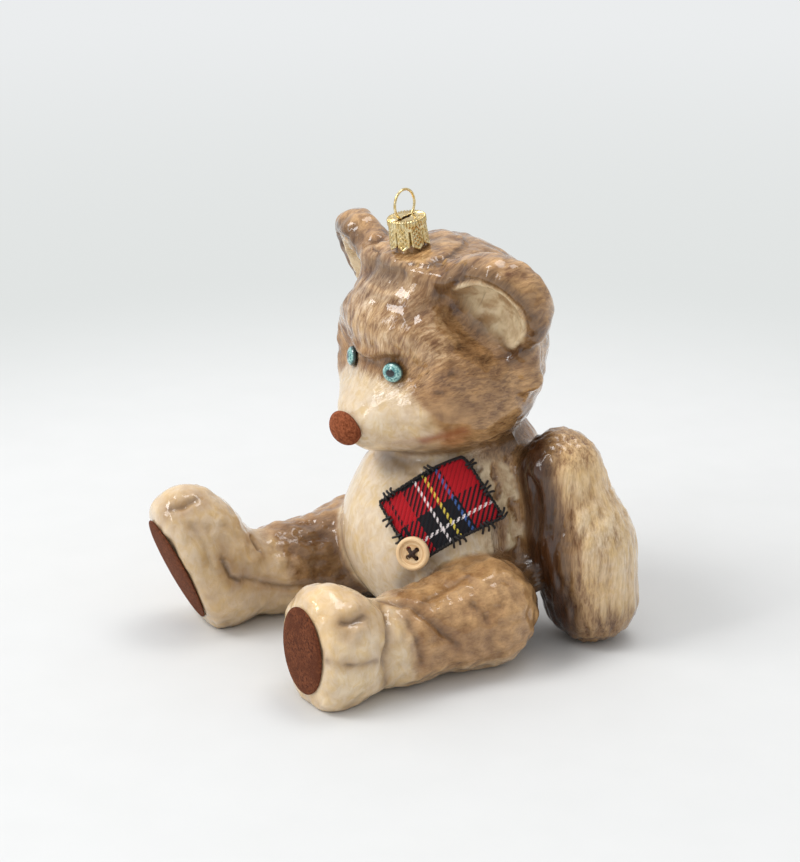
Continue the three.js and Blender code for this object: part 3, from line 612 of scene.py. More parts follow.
def seen_at(pixels):
    """The places on the figure that the photograph shows at the given pixels."""
    right, up, back = view_axes()
    x, y = np.array(pixels, float).T
    ways = np.outer(x - PICTURE_WIDTH / 2, right) + np.outer(PICTURE_HEIGHT / 2 - y, up) - VIEW_FOCUS * back
    eyes = np.tile(VIEW_TARGET + VIEW_DISTANCE * back, (len(ways), 1))
    return meet(crisp_figure, eyes, unit_rows(ways))


def in_lines(spots, lines):
    """The spots of a long list, parted as the given lines are."""
    ends = np.cumsum([len(line) for line in lines])
    return np.split(np.array(spots), ends[:-1])


# Materials

def colour(code):
    """A colour written as red, green and blue in hexadecimal, as the shader's linear values."""
    values = [int(code[n:n + 2], 16) / 255 for n in (0, 2, 4)]
    linear = [v / 12.92 if v <= 0.04045 else ((v + 0.055) / 1.055) ** 2.4 for v in values]
    return (*linear, 1)


class Value:
    """A value that runs from node to node, with sums and products written as for numbers."""

    def __init__(self, nodes, socket):
        self.nodes = nodes
        self.socket = socket

    def __add__(self, other):
        return self.nodes.math("ADD", self, other)

    def __rsub__(self, other):
        return self.nodes.math("SUBTRACT", other, self)

    def __mul__(self, other):
        return self.nodes.math("MULTIPLY", self, other)

    __rmul__ = __mul__


class Nodes:
    """The nodes of a material or a world, with short names for those in use."""

    def __init__(self, tree):
        self.tree = tree

    def add(self, kind, inputs=None, output=0, **settings):
        node = self.tree.nodes.new("ShaderNode" + kind)
        for key, value in settings.items():
            setattr(node, key, value)
        for key, value in (inputs or {}).items():
            self.put(node.inputs[key], value)
        return Value(self, node.outputs[output])

    def put(self, socket, value):
        if isinstance(value, Value):
            self.tree.links.new(value.socket, socket)
        else:
            socket.default_value = colour(value) if isinstance(value, str) else value

    def math(self, operation, first, second=0.5, clamp=False):
        return self.add("Math", {0: first, 1: second}, operation=operation, use_clamp=clamp)


class Paint(Nodes):
    """A material in the making."""

    def __init__(self, name):
        self.material = bpy.data.materials.new(name)
        self.material.use_nodes = True
        super().__init__(self.material.node_tree)
        self.shader = self.tree.nodes["Principled BSDF"]

    def set(self, **values):
        for key, value in values.items():
            self.put(self.shader.inputs[key.replace("_", " ")], value)

    def attribute(self, name, output="Fac"):
        return self.add("Attribute", output=output, attribute_name=name)

    def spot(self):
        return self.add("TexCoord", output="Object")

    def stretch(self, vector, scale=(1, 1, 1), offset=(0, 0, 0)):
        return self.add("Mapping", {"Vector": vector, "Scale": scale, "Location": offset})

    def noise(self, vector, scale, detail=2, rough=0.5, twist=0):
        inputs = {"Vector": vector, "Scale": scale, "Detail": detail, "Roughness": rough, "Distortion": twist}
        return self.add("TexNoise", inputs, "Fac")

    def ramp(self, value, low, high):
        inputs = {"Value": value, "From Min": low, "From Max": high}
        return self.add("MapRange", inputs, interpolation_type="SMOOTHSTEP")

    def mix(self, share, first, second):
        return self.add("Mix", {0: share, 6: first, 7: second}, 2, data_type="RGBA")

    def bump(self, height, strength, distance):
        return self.add("Bump", {"Height": height, "Strength": strength, "Distance": distance})


def lacquer_paint():
    """Streaked brown and cream lacquer with a dark wash in its grooves, painted shade in its recesses and
    folds and painted reflections beside the chest, under a clear gloss varnish.
    """
    paint = Paint("lacquered_glass")
    fur = paint.attribute("fur", "Vector")
    spot = paint.spot()
    gold = paint.attribute("gold")
    calm = paint.attribute("calm")
    dabs = paint.noise(fur, 0.55, 2, 0.5, 0.7)
    fine = paint.noise(paint.stretch(fur, offset=(7, 3, 5)), 1.6, 3, 0.6, 0.5)
    smear = paint.noise(paint.stretch(spot, offset=(2, 9, 4)), 240, 3, 0.55, 0.5)
    grain = paint.noise(paint.stretch(spot, (1, 1, 0.6), (3, 5, 1)), 430, 3, 0.6, 0.8)
    blotch = paint.noise(paint.stretch(spot, offset=(6, 1, 3)), 70, 2, 0.5, 0.4)
    strokes = 0.8 * dabs + (0.5 * paint.ramp(fine, 0.3, 0.7) + 0.22)
    mixed = paint.add("Mix", {0: calm, 2: strokes, 3: 1.3 * smear + 0.25})
    tone = paint.math("SUBTRACT", 0.55 * paint.attribute("wash") + mixed, 0.65, clamp=True)
    brown = paint.mix(tone, "cb9b66", "4e2a0e")
    brown = paint.mix(0.35 * paint.ramp(blotch, 0.45, 0.7), brown, "6f4624")
    golden = paint.mix(tone, "e0b57e", "774b22")
    base = paint.mix(gold, brown, golden)
    cream = paint.mix(paint.ramp(0.45 * smear + 0.55 * grain, 0.3, 0.68), "e3c898", "fcf0da")
    cream = paint.mix(0.6 * gold, cream, "e9bc76")
    cream = paint.mix(0.58 * tone, cream, "9c6d36")
    ragged = paint.attribute("cream") + 0.45 * (0.5 - tone)
    base = paint.mix(paint.ramp(ragged, 0.1, 0.9), base, cream)
    # Pale beige: the ears' cups, and painted reflections on the lumps beside the chest.
    cup_and_painted_sheen = paint.mix(paint.ramp(smear, 0.3, 0.65), "b3926a", "e6d0aa")
    base = paint.mix(paint.attribute("cup_and_painted_sheen"), base, cup_and_painted_sheen)
    # Broad brown round the folds: part wash, part painted shade.
    base = paint.mix(0.7 * paint.attribute("fold_wash_and_shade"), base, "8a5c30")
    base = paint.mix(paint.attribute("rust"), base, "96512d")
    pits = paint.ramp(fine, 0.38, 0.25) * paint.attribute("rough")
    base = paint.mix(0.4 * pits, base, "482a10")
    # Painted shade together with the dark wash: recesses, folds, pits, above the eyes, the ears' rims and the
    # limbs' inner sides.
    base = paint.mix(paint.attribute("dark"), base, paint.mix(tone, "4a2a12", "2a1406"))
    lively = 1.0 - 0.9 * calm
    grooves = strokes * lively + 0.4 * grain
    skin = dabs * lively + (0.8 * smear + 0.7 * grain)
    paint.set(Base_Color=base, Roughness=0.45, Specular_IOR_Level=0.12)
    paint.set(Coat_Weight=1.0, Coat_Roughness=0.03, Coat_IOR=1.55)
    paint.set(Normal=paint.bump(grooves, 0.4, 0.001), Coat_Normal=paint.bump(skin, 0.12, 0.001))
    return paint.material


def gold_paint():
    paint = Paint("gold_metal")
    wear = paint.noise(paint.spot(), 900, 3, 0.6)
    bright = paint.mix(paint.ramp(wear, 0.35, 0.7), "dcbb78", "f8e8ba")
    # Painted shade in the cap's recesses: its slits, the gaps between its teeth and the hollows of its
    # embossing.
    paint.set(Base_Color=paint.mix(paint.attribute("low"), bright, "5a431c"), Metallic=1.0)
    paint.set(Roughness=paint.add("MapRange", {"Value": wear, "To Min": 0.16, "To Max": 0.34}))
    paint.set(Normal=paint.bump(wear, 0.15, 0.0001))
    return paint.material


def eye_paint():
    paint = Paint("eye_glass")
    disc = paint.attribute("disc", "Vector")
    reach = paint.add("SeparateXYZ", {0: disc}, "X")
    rays = paint.noise(paint.stretch(disc, (1.4, 1, 1)), 5.5, 3, 0.65)
    iris = paint.mix(paint.ramp(rays, 0.38, 0.64), "3f7f83", "a6d6cd")
    iris = paint.mix(paint.ramp(reach, 0.62, 0.4), iris, "2f6468")
    eye = paint.mix(paint.ramp(reach, 0.46, 0.38), iris, "07090a")
    eye = paint.mix(paint.ramp(reach, 0.9, 1.0), eye, "27403f")
    paint.set(Base_Color=eye, Roughness=0.12, Coat_Weight=1.0, Coat_Roughness=0.02)
    return paint.material


def flock_paint():
    paint = Paint("flock")
    spot = paint.spot()
    fibres = paint.noise(spot, 4200, 2, 0.7)
    specks = paint.noise(spot, 1500, 3, 0.7)
    patches = paint.noise(spot, 260, 3, 0.6)
    base = paint.mix(paint.ramp(specks, 0.32, 0.68), "3c1b0d", "7c462b")
    base = paint.mix(paint.ramp(patches, 0.42, 0.7), base, "552b18")
    # Painted light: the nose faces the lamps, so it is painted in this lighter flock colour than the pads.
    lit_flock = paint.mix(paint.ramp(specks, 0.35, 0.65), "7c3f24", "ab6240")
    base = paint.mix(paint.attribute("painted_light"), base, lit_flock)
    paint.set(Base_Color=base, Roughness=0.95, Sheen_Weight=0.2, Sheen_Roughness=0.5)
    paint.set(Sheen_Tint="c58a72", Specular_IOR_Level=0.15)
    paint.set(Normal=paint.bump(fibres, 0.8, 0.00025))
    return paint.material


def stripes(paint, place, bands):
    """Bands of thread colour along one direction of the cloth, from 0 to 1."""
    ramp = paint.add("ValToRGB", {0: place})
    bar = ramp.socket.node.color_ramp
    bar.interpolation = "CONSTANT"
    bar.elements.remove(bar.elements[1])
    bar.elements[0].position = bands[0][0]
    bar.elements[0].color = colour(bands[0][1])
    for start, code in bands[1:]:
        bar.elements.new(start).color = colour(code)
    return ramp


RED = "b3131f"
BLACK = "14151b"
WHITE = "e6dcdc"
YELLOW = "dcc54e"
BLUE = "3f5f9c"
WARP_BANDS = (
    (0, RED), (0.07, BLACK), (0.105, RED), (0.25, BLACK), (0.405, WHITE), (0.437, BLACK),
    (0.515, YELLOW), (0.547, BLACK), (0.66, BLUE), (0.692, BLACK), (0.715, RED),
)
WEFT_BANDS = ((0, BLACK), (0.05, RED), (0.47, BLACK), (0.745, WHITE), (0.79, BLACK))


def tartan_paint():
    paint = Paint("tartan_cloth")
    cloth = paint.attribute("cloth", "Vector")
    length_share = paint.add("SeparateXYZ", {0: cloth}, "X")
    width_share = paint.add("SeparateXYZ", {0: cloth}, "Y")
    along = PATCH_LENGTH / THREAD_PITCH * length_share
    across = PATCH_WIDTH / THREAD_PITCH * width_share
    count = paint.math("FLOOR", along) + paint.math("FLOOR", across)
    weft_over = paint.math("GREATER_THAN", paint.math("FLOORED_MODULO", count, 4.0), 1.5)
    warp = stripes(paint, length_share, WARP_BANDS)
    weft = stripes(paint, width_share, WEFT_BANDS)
    base = paint.mix(weft_over, warp, weft)
    rib = paint.math("SINE", pi / 2 * (along + across))
    fuzz = paint.noise(paint.stretch(cloth, (PATCH_LENGTH, PATCH_WIDTH, 1)), 6.0, 3, 0.7)
    # Painted shade in the troughs between the twill's ribs, in patches where the fuzz is low.
    base = paint.mix(paint.ramp(0.12 * rib + 0.5 * fuzz, 0.2, 0.03), base, "22080b")
    rounds = paint.math("SINE", 2 * pi * along) + paint.math("SINE", 2 * pi * across)
    paint.set(Base_Color=base, Roughness=0.85, Sheen_Weight=0.25, Sheen_Roughness=0.4)
    paint.set(Specular_IOR_Level=0.25, Normal=paint.bump(rib + 0.4 * rounds, 0.6, 0.0001))
    return paint.material


def thread_paint(name, dark, light, gloss):
    paint = Paint(name)
    twist = paint.noise(paint.spot(), 3000, 2, 0.6)
    paint.set(Base_Color=paint.mix(paint.ramp(twist, 0.35, 0.7), dark, light), Roughness=gloss)
    paint.set(Normal=paint.bump(twist, 0.6, 0.0001))
    return paint.material


def button_paint():
    paint = Paint("button_horn")
    disc = paint.attribute("disc", "Vector")
    reach = paint.add("SeparateXYZ", {0: disc}, "X")
    rings = paint.noise(paint.stretch(disc, (9, 0.6, 0.6)), 1.6, 3, 0.6)
    base = paint.mix(paint.ramp(rings, 0.3, 0.7), "d0a472", "f0d4a9")
    base = paint.mix(paint.ramp(reach, 0.62, 0.78), base, "ecca9c")
    paint.set(Base_Color=base, Roughness=0.38, Specular_IOR_Level=0.4)
    paint.set(Normal=paint.bump(rings, 0.2, 0.0001))
    return paint.material


def floor_paint():
    """A pale floor that takes shadows near the object and runs into an even background further off."""
    paint = Paint("floor")
    spot = paint.spot()
    base = paint.mix(paint.noise(spot, 60, 3, 0.5), FLOOR_DARK, FLOOR_LIGHT)
    paint.set(Base_Color=base, Roughness=0.9, Specular_IOR_Level=0.2)
    away = paint.add("VectorMath", {0: spot}, "Value", operation="LENGTH")
    camera_ray = paint.add("LightPath", output="Is Camera Ray")
    seen = paint.math("MAXIMUM", camera_ray, paint.add("LightPath", output="Is Glossy Ray"))
    far = paint.ramp(away, 0.15, 0.36) * seen
    glow = paint.add("Emission", {"Color": paint.mix(paint.ramp(away, 0.3, 1.1), WALL_FOOT, BACKGROUND)})
    both = paint.add("MixShader", {0: far, 1: Value(paint, paint.shader.outputs[0]), 2: glow})
    paint.put(paint.tree.nodes["Material Output"].inputs["Surface"], both)
    return paint.material


# Meshes

def add_mesh(name, points, faces, material, attributes=None, flat=False):
    """A new piece from points in millimetres, with values stored on its points."""
    mesh = bpy.data.meshes.new(name)
    mesh.from_pydata((np.array(points) * 0.001).tolist(), [], [list(face) for face in faces])
    for key, values in (attributes or {}).items():
        values = np.array(values, np.float32)
        kind = "FLOAT" if values.ndim == 1 else "FLOAT_VECTOR"
        field = "value" if values.ndim == 1 else "vector"
        mesh.attributes.new(key, kind, "POINT").data.foreach_set(field, values.ravel())
    mesh.polygons.foreach_set("use_smooth", [not flat] * len(mesh.polygons))
    mesh.materials.append(material)
    mesh.update()
    piece = bpy.data.objects.new(name, mesh)
    bpy.context.scene.collection.objects.link(piece)
    return piece


def dress(piece, node):
    """Lets a piece stand for a solid of the model: sets it under the root and hides the solid."""
    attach(piece, "root")
    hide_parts(node)
    return piece


def solid_copy(node):
    """A mesh to edit, made from a solid of the model."""
    mesh = bmesh.new()
    mesh.from_mesh(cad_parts[node].data)
    bmesh.ops.remove_doubles(mesh, verts=mesh.verts, dist=1e-6)
    return mesh


def in_triangles(mesh):
    """The points in millimetres and the triangles of an edited mesh, which is then let go."""
    bmesh.ops.triangulate(mesh, faces=mesh.faces)
    mesh.verts.index_update()
    points = np.array([vert.co for vert in mesh.verts]) * 1000
    faces = [[vert.index for vert in face.verts] for face in mesh.faces]
    mesh.free()
    return points, faces


def grid_faces(rows, columns, closed):
    faces = []
    last = columns if closed else columns - 1
    for row in range(rows - 1):
        first = row * columns
        for column in range(last):
            beside = (column + 1) % columns
            faces.append((first + column, first + beside, first + columns + beside, first + columns + column))
    return faces


def tubes(lines, radius, sides=8):
    """Points and faces of round threads that follow the given lines."""
    points = []
    faces = []
    for line in lines:
        line = np.array(line, float)
        ways = np.gradient(line, axis=0)
        normal = unit(np.cross(ways[0], ways[0][[1, 2, 0]] + 0.1))
        base = len(points)
        for spot, way in zip(line, ways):
            way = unit(way)
            normal = unit(normal - way * (normal @ way))
            other = np.cross(way, normal)
            points.extend(spot + radius * (cos(a) * normal + sin(a) * other) for a in circle(sides))
        for face in grid_faces(len(line), sides, True):
            faces.append([base + n for n in face])
        faces.append([base + n for n in range(sides)][::-1])
        faces.append([base + (len(line) - 1) * sides + n for n in range(sides)])
    return points, faces


# Glass

# Folds: pixels of the photograph along a fold, its width and depth in millimetres, and its darkness, which is
# painted shade in the crease and, for the mouth, a painted line
FOLDS = (
    (((378, 600), (385, 615), (388, 636), (385, 660), (385, 684)), 0.8, -1.1, 0.55),
    (((382, 601), (412, 606), (424, 616), (444, 633), (458, 645)), 1.1, -1.3, 0.5),
    (((407, 619), (417, 640), (422, 664)), 0.9, -0.9, 0.5),
    (((395, 612), (398, 640), (400, 668)), 1.2, 0.7, 0.0),
    (((326, 661), (350, 666), (377, 661)), 0.6, -0.6, 0.6),
    (((341, 623), (352, 623), (363, 617)), 1.0, -1.2, 0.65),
    (((345, 612), (358, 609)), 1.2, 0.9, 0.0),
    (((352, 634), (370, 630)), 1.4, 0.6, 0.0),
    (((170, 509), (184, 506), (197, 498)), 1.2, -1.2, 0.6),
    (((176, 518), (192, 515), (205, 508)), 1.3, 0.6, 0.0),
    (((222, 558), (231, 577), (240, 581)), 0.9, -1.0, 0.7),
    (((240, 577), (272, 585), (290, 587), (314, 583)), 0.9, -1.0, 0.5),
    (((251, 534), (260, 553)), 0.8, -0.9, 0.6),
    (((246, 565), (256, 560), (262, 552)), 1.3, 0.8, 0.0),
    (((276, 562), (289, 556)), 1.3, 0.7, 0.0),
    (((287, 526), (312, 522), (341, 521)), 0.7, -0.6, 0.5),
    (((421, 604), (450, 586), (470, 575)), 0.8, -0.6, 0.5),
    (((470, 602), (483, 612), (489, 622)), 1.0, -0.8, 0.35),
    (((492, 583), (500, 596), (497, 607)), 1.1, 0.6, 0.0),
    (((300, 541), (322, 536), (343, 541)), 0.9, -0.6, 0.4),
    (((190, 522), (205, 545), (213, 570)), 1.2, -0.5, 0.25),
)
# The same for folds that the figure's other side has too
PAIRED_FOLDS = (
    (((447, 295), (429, 306), (405, 320)), 2.2, -1.1, 0.45),
    (((534, 363), (514, 360)), 0.9, -0.6, 0.5),
    (((506, 354), (509, 357)), 0.9, -0.8, 0.7),
    (((481, 319), (482, 327)), 0.5, -0.5, 0.6),
    (((358, 349), (370, 353), (389, 349), (402, 355)), 1.1, 0.6, 0.0),
    (((358, 358), (370, 361), (384, 358), (399, 361)), 0.9, -0.5, 0.45),
    (((353, 444), (359, 449), (368, 452)), 0.7, -0.5, 0.9),
    (((358, 450), (376, 454), (398, 453), (422, 447)), 1.3, -0.3, 0.35),
    (((436, 393), (444, 394)), 0.8, -0.5, 0.6),
    (((450, 374), (456, 375)), 0.8, -0.5, 0.6),
    (((526, 462), (536, 490), (538, 530), (541, 570), (545, 600)), 1.2, -0.9, 0.5),
)


def near_line(points, line):
    """The distance of points to a line through the given spots, and the share of it that they are beside."""
    best = np.full(len(points), 1e9)
    share = np.zeros(len(points))
    for n in range(len(line) - 1):
        along = line[n + 1] - line[n]
        part = np.clip((points - line[n]) @ along / (along @ along), 0, 1)
        gap = lengths(points - line[n] - part[:, None] * along)
        closer = gap < best
        best = np.where(closer, gap, best)
        share = np.where(closer, (n + part) / (len(line) - 1), share)
    return best, share


def noise_at(points, scale, offset):
    shift = Vector(offset)
    return np.array([noise.noise(Vector(spot) + shift) for spot in points * np.array(scale)])


def glass_skin():
    """The solid's own surface, cut finer."""
    mesh = solid_copy("glass_bear")
    bmesh.ops.subdivide_edges(mesh, edges=mesh.edges, cuts=3, use_grid_fill=True)
    return in_triangles(mesh)


def neck_zone(points):
    """True for the points of the neck and its bore, which keep their place."""
    offset = points - NECK["origin"]
    height = offset @ NECK["outward"]
    return lengths(offset - height[:, None] * NECK["outward"]) < (CAP_TOP_DIAMETER - 1) / 2


def settled(points, fixed):
    """Points moved onto the crisp figure."""
    for _ in range(SETTLE_ROUNDS):
        slope = slope_at(crisp_figure, points)
        steep = np.maximum(np.einsum("ij,ij->i", slope, slope), LEAST_SLOPE)
        move = slope * (-crisp_figure(points) / steep)[:, None]
        move[fixed] = 0
        points = points + np.clip(move, -SETTLE_REACH, SETTLE_REACH)
    return points


def under_fittings(points):
    """True for the points of the figure that lie under the eyes, nose, pads, patch and button."""
    nose_spot = vec(0, -MUZZLE_REACH - MUZZLE_TIP_WIDTH / 2, MUZZLE_CENTRE_HEIGHT - MUZZLE_DROP)
    discs = [(nose_spot, NOSE_WIDTH / 2 + 1), (BUTTON["origin"], BUTTON_DIAMETER / 2 + 1)]
    discs += [(EYE_PLACES[side]["origin"], EYE_DIAMETER / 2 + 0.4) for side in SIDES]
    offset = points - PATCH["origin"]
    along = np.abs(offset @ PATCH["across"]) < PATCH_LENGTH / 2 + 2
    across = np.abs(offset @ PATCH["up"]) < PATCH_WIDTH / 2 + 2
    covered = along & across & (offset @ PATCH["outward"] > -12)
    for spot, reach in discs:
        covered |= lengths(points - spot) < reach
    for name in FEET:
        covered |= sole_distance(points, name) < 1
    return covered


def regions(points):
    """How far each point belongs to the head, torso, arms and legs."""
    levels = {"head": head_and_ears_level(points, CRISP_BLENDS), "torso": torso_level(points)}
    for side, name in SIDE_NAMES.items():
        levels[name + "_arm"] = arm_level(points, side)
    for name in FEET:
        levels[name + "_leg"] = leg_level(points, name, CRISP_BLENDS)
    weights = {name: np.exp(-np.maximum(level, 0) / REGION_FADE) for name, level in levels.items()}
    total = sum(weights.values())
    share = {name: weight / total for name, weight in weights.items()}
    share["arms"] = share["left_arm"] + share["right_arm"]
    share["legs"] = share["left_leg"] + share["right_leg"]
    return share


def by_region(share, **amounts):
    """One amount at each point, from what it is on the head, torso, arms and legs."""
    return sum(amount * share[name] for name, amount in amounts.items())


def fur_flow(points, share):
    """Places in the pattern of fur strokes, which run back from the nose, and down the body and arms."""
    offset = points - vec(0, 0, MUZZLE_CENTRE_HEIGHT - MUZZLE_DROP)
    angle = np.arctan2(np.hypot(offset[:, 0], offset[:, 2]), -offset[:, 1])
    around = unit_rows(offset[:, [0, 2]])
    flows = {
        "head": np.column_stack([around * FUR_RADIUS, angle * FUR_RADIUS * 0.4]),
        "torso": points * (1, 1, 0.22),
        "arms": points * (1.2, 1.2, 0.16),
        "legs": points * (0.8, 0.45, 0.8),
    }
    return sum(flow * share[name][:, None] for name, flow in flows.items())


def arm_back(normals, side):
    """How far the surface of an arm faces back and outward."""
    return normals @ vec(side * ARM_PALE_OUT, ARM_PALE_BACK, 0)


def cream_share(points, normals, share):
    """How far each point is painted cream: the muzzle, brow, belly, feet and the outer sides of the arms."""
    _, y, z = points.T
    centre = vec(0, -MUZZLE_REACH - MUZZLE_PALE_AHEAD, MUZZLE_CENTRE_HEIGHT - MUZZLE_PALE_DROP)
    scaled = (points - centre) / (MUZZLE_PALE_SIDE, MUZZLE_PALE_LENGTH, MUZZLE_PALE_RISE)
    muzzle = np.einsum("ij,ij->i", scaled, scaled)
    cream = share["head"] * fade(0.45, 1.5, muzzle)
    cream += share["head"] * 0.3 * smooth(74, 82, z) * fade(-20, -8, y)
    cream += share["torso"] * fade(-9, 3, y)
    height = smooth(3, 15, z) * (1 - 0.7 * smooth(46, 57, z))
    for side, name in SIDE_NAMES.items():
        cream += share[name + "_arm"] * 0.8 * smooth(-0.35, 0.25, arm_back(normals, side)) * height
        toe = fade(20, 30, sole_distance(points, name))
        cream += share[name + "_leg"] * np.maximum(toe, 0.5 * fade(2, 8, z))
    return np.clip(cream, 0, 1)


def dark_share(points, normals, share, folds):
    """Darkness painted into the colour: painted shade in recesses, folds and pits, above the eyes, in the
    ears' rims and on the sides of the arms and legs that face the body, with a dark wash pooled in the
    grooves and the painted mouth line; the arms also darken towards the bottom.
    """
    # Painted shade in recesses: points darkened by how closely the figure closes round them, 3 mm and 8 mm
    # out, standing also for the dark wash pooled there; less on the chest beside the arms.
    near = 1 - crisp_figure(points + 3 * normals) / 3
    wide = 1 - crisp_figure(points + 8 * normals) / 8
    recess = np.maximum(0.75 * smooth(0.25, 0.85, near), 0.5 * smooth(0.3, 0.9, wide))
    marks = [folds, recess * (1 - 0.75 * chest_side(points, share))]
    for side, name in SIDE_NAMES.items():
        # Painted shade above each eye, under its brow: the dark ring is centred a little above the eye.
        place = EYE_PLACES[side]
        gap = lengths(points - place["origin"] - 1.2 * place["up"])
        marks.append(0.5 * fade(EYE_DIAMETER / 2, EYE_SHADE_WIDTH, gap))
        # Painted shade on the inner face of each ear's rolled rim and in the groove along its cup.
        hollow = ear_hollow_level(points, side)
        rim_inner_shade = smooth(2.2, 3, hollow) * fade(4.6, 6.8, hollow)
        marks.append(rim_share(points, side) * np.maximum(0.65 * rim_inner_shade, 0.75 * bell(hollow - 2.4, 0.5)))
        # Painted shade on the side of each arm that faces forward towards the chest; each arm is also painted
        # darker towards the bottom.
        arm = share[name + "_arm"]
        marks.append(arm * smooth(-0.1, 0.58, -arm_back(normals, side)))
        marks.append(arm * 0.4 * fade(6, 18, points[:, 2]))
        # The sides of the legs that face each other, most on the thigh behind the foot: partly the legs'
        # darker paint, partly painted shade.
        inner = smooth(-0.2, 0.6, -side * normals[:, 0])
        behind_foot = smooth(22, 32, sole_distance(points, name))
        marks.append(share[name + "_leg"] * inner * (0.12 + 0.5 * behind_foot))
    return np.clip(np.maximum.reduce(marks), 0, 1)


def rim_share(points, side):
    return fade(2, 3.5, np.abs(ear_rim_level(points, side)))


def ear_share(points):
    """How far each point belongs to the pale cup of an ear, which runs out softly over the cheek."""
    cup = np.zeros(len(points))
    for side in SIDES:
        turn, place = EAR_PLACES[side]
        offset = (points - place(0, 0, 0)) @ turn
        from_cheek = side * offset[:, 0] - EAR_CUP_EDGE - EAR_CUP_BOW * offset[:, 2] ** 2
        inside = fade(0.2 + rim_share(points, side), 2, ear_hollow_level(points, side))
        cup = np.maximum(cup, inside * smooth(-2.8, 2.4, from_cheek))
    return cup


def ear_groove(points):
    """How far each point lies in the groove between the cup of an ear and its rolled rim."""
    groove = np.zeros(len(points))
    for side in SIDES:
        line = bell(ear_hollow_level(points, side) - 2.2, 0.8)
        groove = np.maximum(groove, rim_share(points, side) * line)
    return groove


def chest_side(points, share):
    """How far each point belongs to the rough, pitted sides of the chest beside the arms."""
    x, y, z = points.T
    band = smooth(-11, -3, y) * fade(12, 18, y) * fade(46, 52, z)
    return share["torso"] * band * smooth(9, 15, np.abs(x))


def calm_share(points, share):
    """How smooth the surface is moulded: the muzzle, the belly and the feet are calmer than the rest."""
    _, y, z = points.T
    calm = share["head"] * fade(-16, -4, y) * fade(64, 74, z)
    calm += share["torso"] * fade(-12, -2, y)
    for name in FEET:
        calm += share[name + "_leg"] * 0.4 * fade(20, 30, sole_distance(points, name))
    return np.clip(calm, 0, 1)


def relief(points, share, flow, calm):
    """Lumps and grooves of the moulded fur in millimetres, and the wash, the dark of the pits and the painted
    reflections on the chest's lumps that they carry.
    """
    chest = chest_side(points, share)
    lumps = noise_at(points, 0.36, (3, 1, 7))
    strokes = noise_at(flow, 0.55, (9, 4, 2))
    ribs = noise_at(flow, (0.3, 0.3, 0.2), (4, 2, 8))
    swell = noise_at(points, 0.13, (2, 6, 1))
    height = lumps * by_region(share, head=0.34, legs=0.6, torso=0.15, arms=0.15)
    height += strokes * by_region(share, head=0.2, torso=0.12, arms=0.6)
    height += ribs * by_region(share, head=0.4, torso=0.2)
    height *= 1 - 0.8 * calm
    height += swell * by_region(share, head=0.3, legs=0.8, arms=0.3, torso=0.2)
    pattern = lumps * (by_region(share, head=0.55, legs=0.6) + 0.2)
    pattern += strokes * (by_region(share, head=0.5, arms=1.3) + 0.2)
    cells = noise_at(points, (0.38, 0.38, 0.17), (5, 8, 3)) + 0.25 * lumps
    pits = smooth(-0.02, 0.16, cells) * chest
    height += chest * 1.1 * np.minimum(cells, 0.1) - 1.4 * pits
    wash = 0.4 + by_region(share, left_leg=-0.1, right_leg=0.12) - 0.75 * pattern * (1 - 0.6 * calm)
    # Painted reflections: pale beige on the lumps beside the chest, standing for the room mirrored in the
    # varnish.
    painted_sheen = chest * smooth(0.08, -0.1, cells)
    return height, np.clip(wash, 0, 1), 0.3 * pits, painted_sheen


def fold_marks(points):
    """The height, the darkness and the broad darkening that the listed folds give to points; the darkness is
    mostly painted shade in each crease, and the broad darkening round it is part brown wash and part painted
    shade.
    """
    height = np.zeros(len(points))
    dark = np.zeros(len(points))
    fold_wash_and_shade = np.zeros(len(points))
    folds = FOLDS + PAIRED_FOLDS
    pixels = [fold[0] for fold in folds]
    for line, fold in zip(in_lines(seen_at(sum(pixels, ())), pixels), folds):
        _, width, depth, darkness = fold
        for mirror in SIDES if fold in PAIRED_FOLDS else (1,):
            gap, along = near_line(points, line * (mirror, 1, 1))
            ends = smooth(0, 0.15, along) * fade(0.85, 1, along)
            height += depth * bell(gap, width) * ends
            dark = np.maximum(dark, darkness * bell(gap, 0.8 * width))
            fold_wash_and_shade = np.maximum(fold_wash_and_shade, darkness * bell(gap, 3 * width))
    return height, dark, fold_wash_and_shade


def glass_bear():
    points, faces = glass_skin()
    fixed = neck_zone(points) | (points[:, 2] < 0.01)
    points = settled(points, fixed)
    points[:, 2] = np.maximum(points[:, 2], 0)
    normals = normals_at(crisp_figure, points)
    share = regions(points)
    flow = fur_flow(points, share)
    ear = ear_share(points)
    calm = calm_share(points, share)
    height, wash, pits, painted_sheen = relief(points, share, flow, calm)
    fold_height, folds, fold_wash_and_shade = fold_marks(points)
    height = height * (1 - 0.6 * ear) + fold_height - 0.9 * ear_groove(points)
    keep = fixed | under_fittings(points)
    height[keep] = np.minimum(height[keep], 0) * ~fixed[keep]
    rust_gap, _ = near_line(points, seen_at(RUST_LINE))
    gold = 0.3 + by_region(share, legs=0.3, arms=0.65, torso=-0.3)
    values = {
        "wash": wash + 0.3 * fold_wash_and_shade,
        "fold_wash_and_shade": fold_wash_and_shade,
        "calm": calm + 0.55 * share["legs"],
        "cream": cream_share(points, normals, share),
        "gold": gold + 0.5 * noise_at(points, 0.05, (1, 2, 3)),
        "dark": dark_share(points, normals, share, np.maximum(folds, pits)),
        "rust": 0.7 * bell(rust_gap, RUST_WIDTH),
        "cup_and_painted_sheen": np.maximum(ear, painted_sheen),
        "rough": (1 - by_region(share, legs=0.55, torso=0.4)) * (1 - 0.8 * calm),
    }
    values = {name: np.clip(value, 0, 1) for name, value in values.items()}
    values["fur"] = flow
    points = points + normals * height[:, None]
    points[:, 2] = np.maximum(points[:, 2], 0)
    piece = add_mesh("glass_figure", points, faces, lacquer_paint(), values)
    return dress(piece, "glass_bear")


# Metal

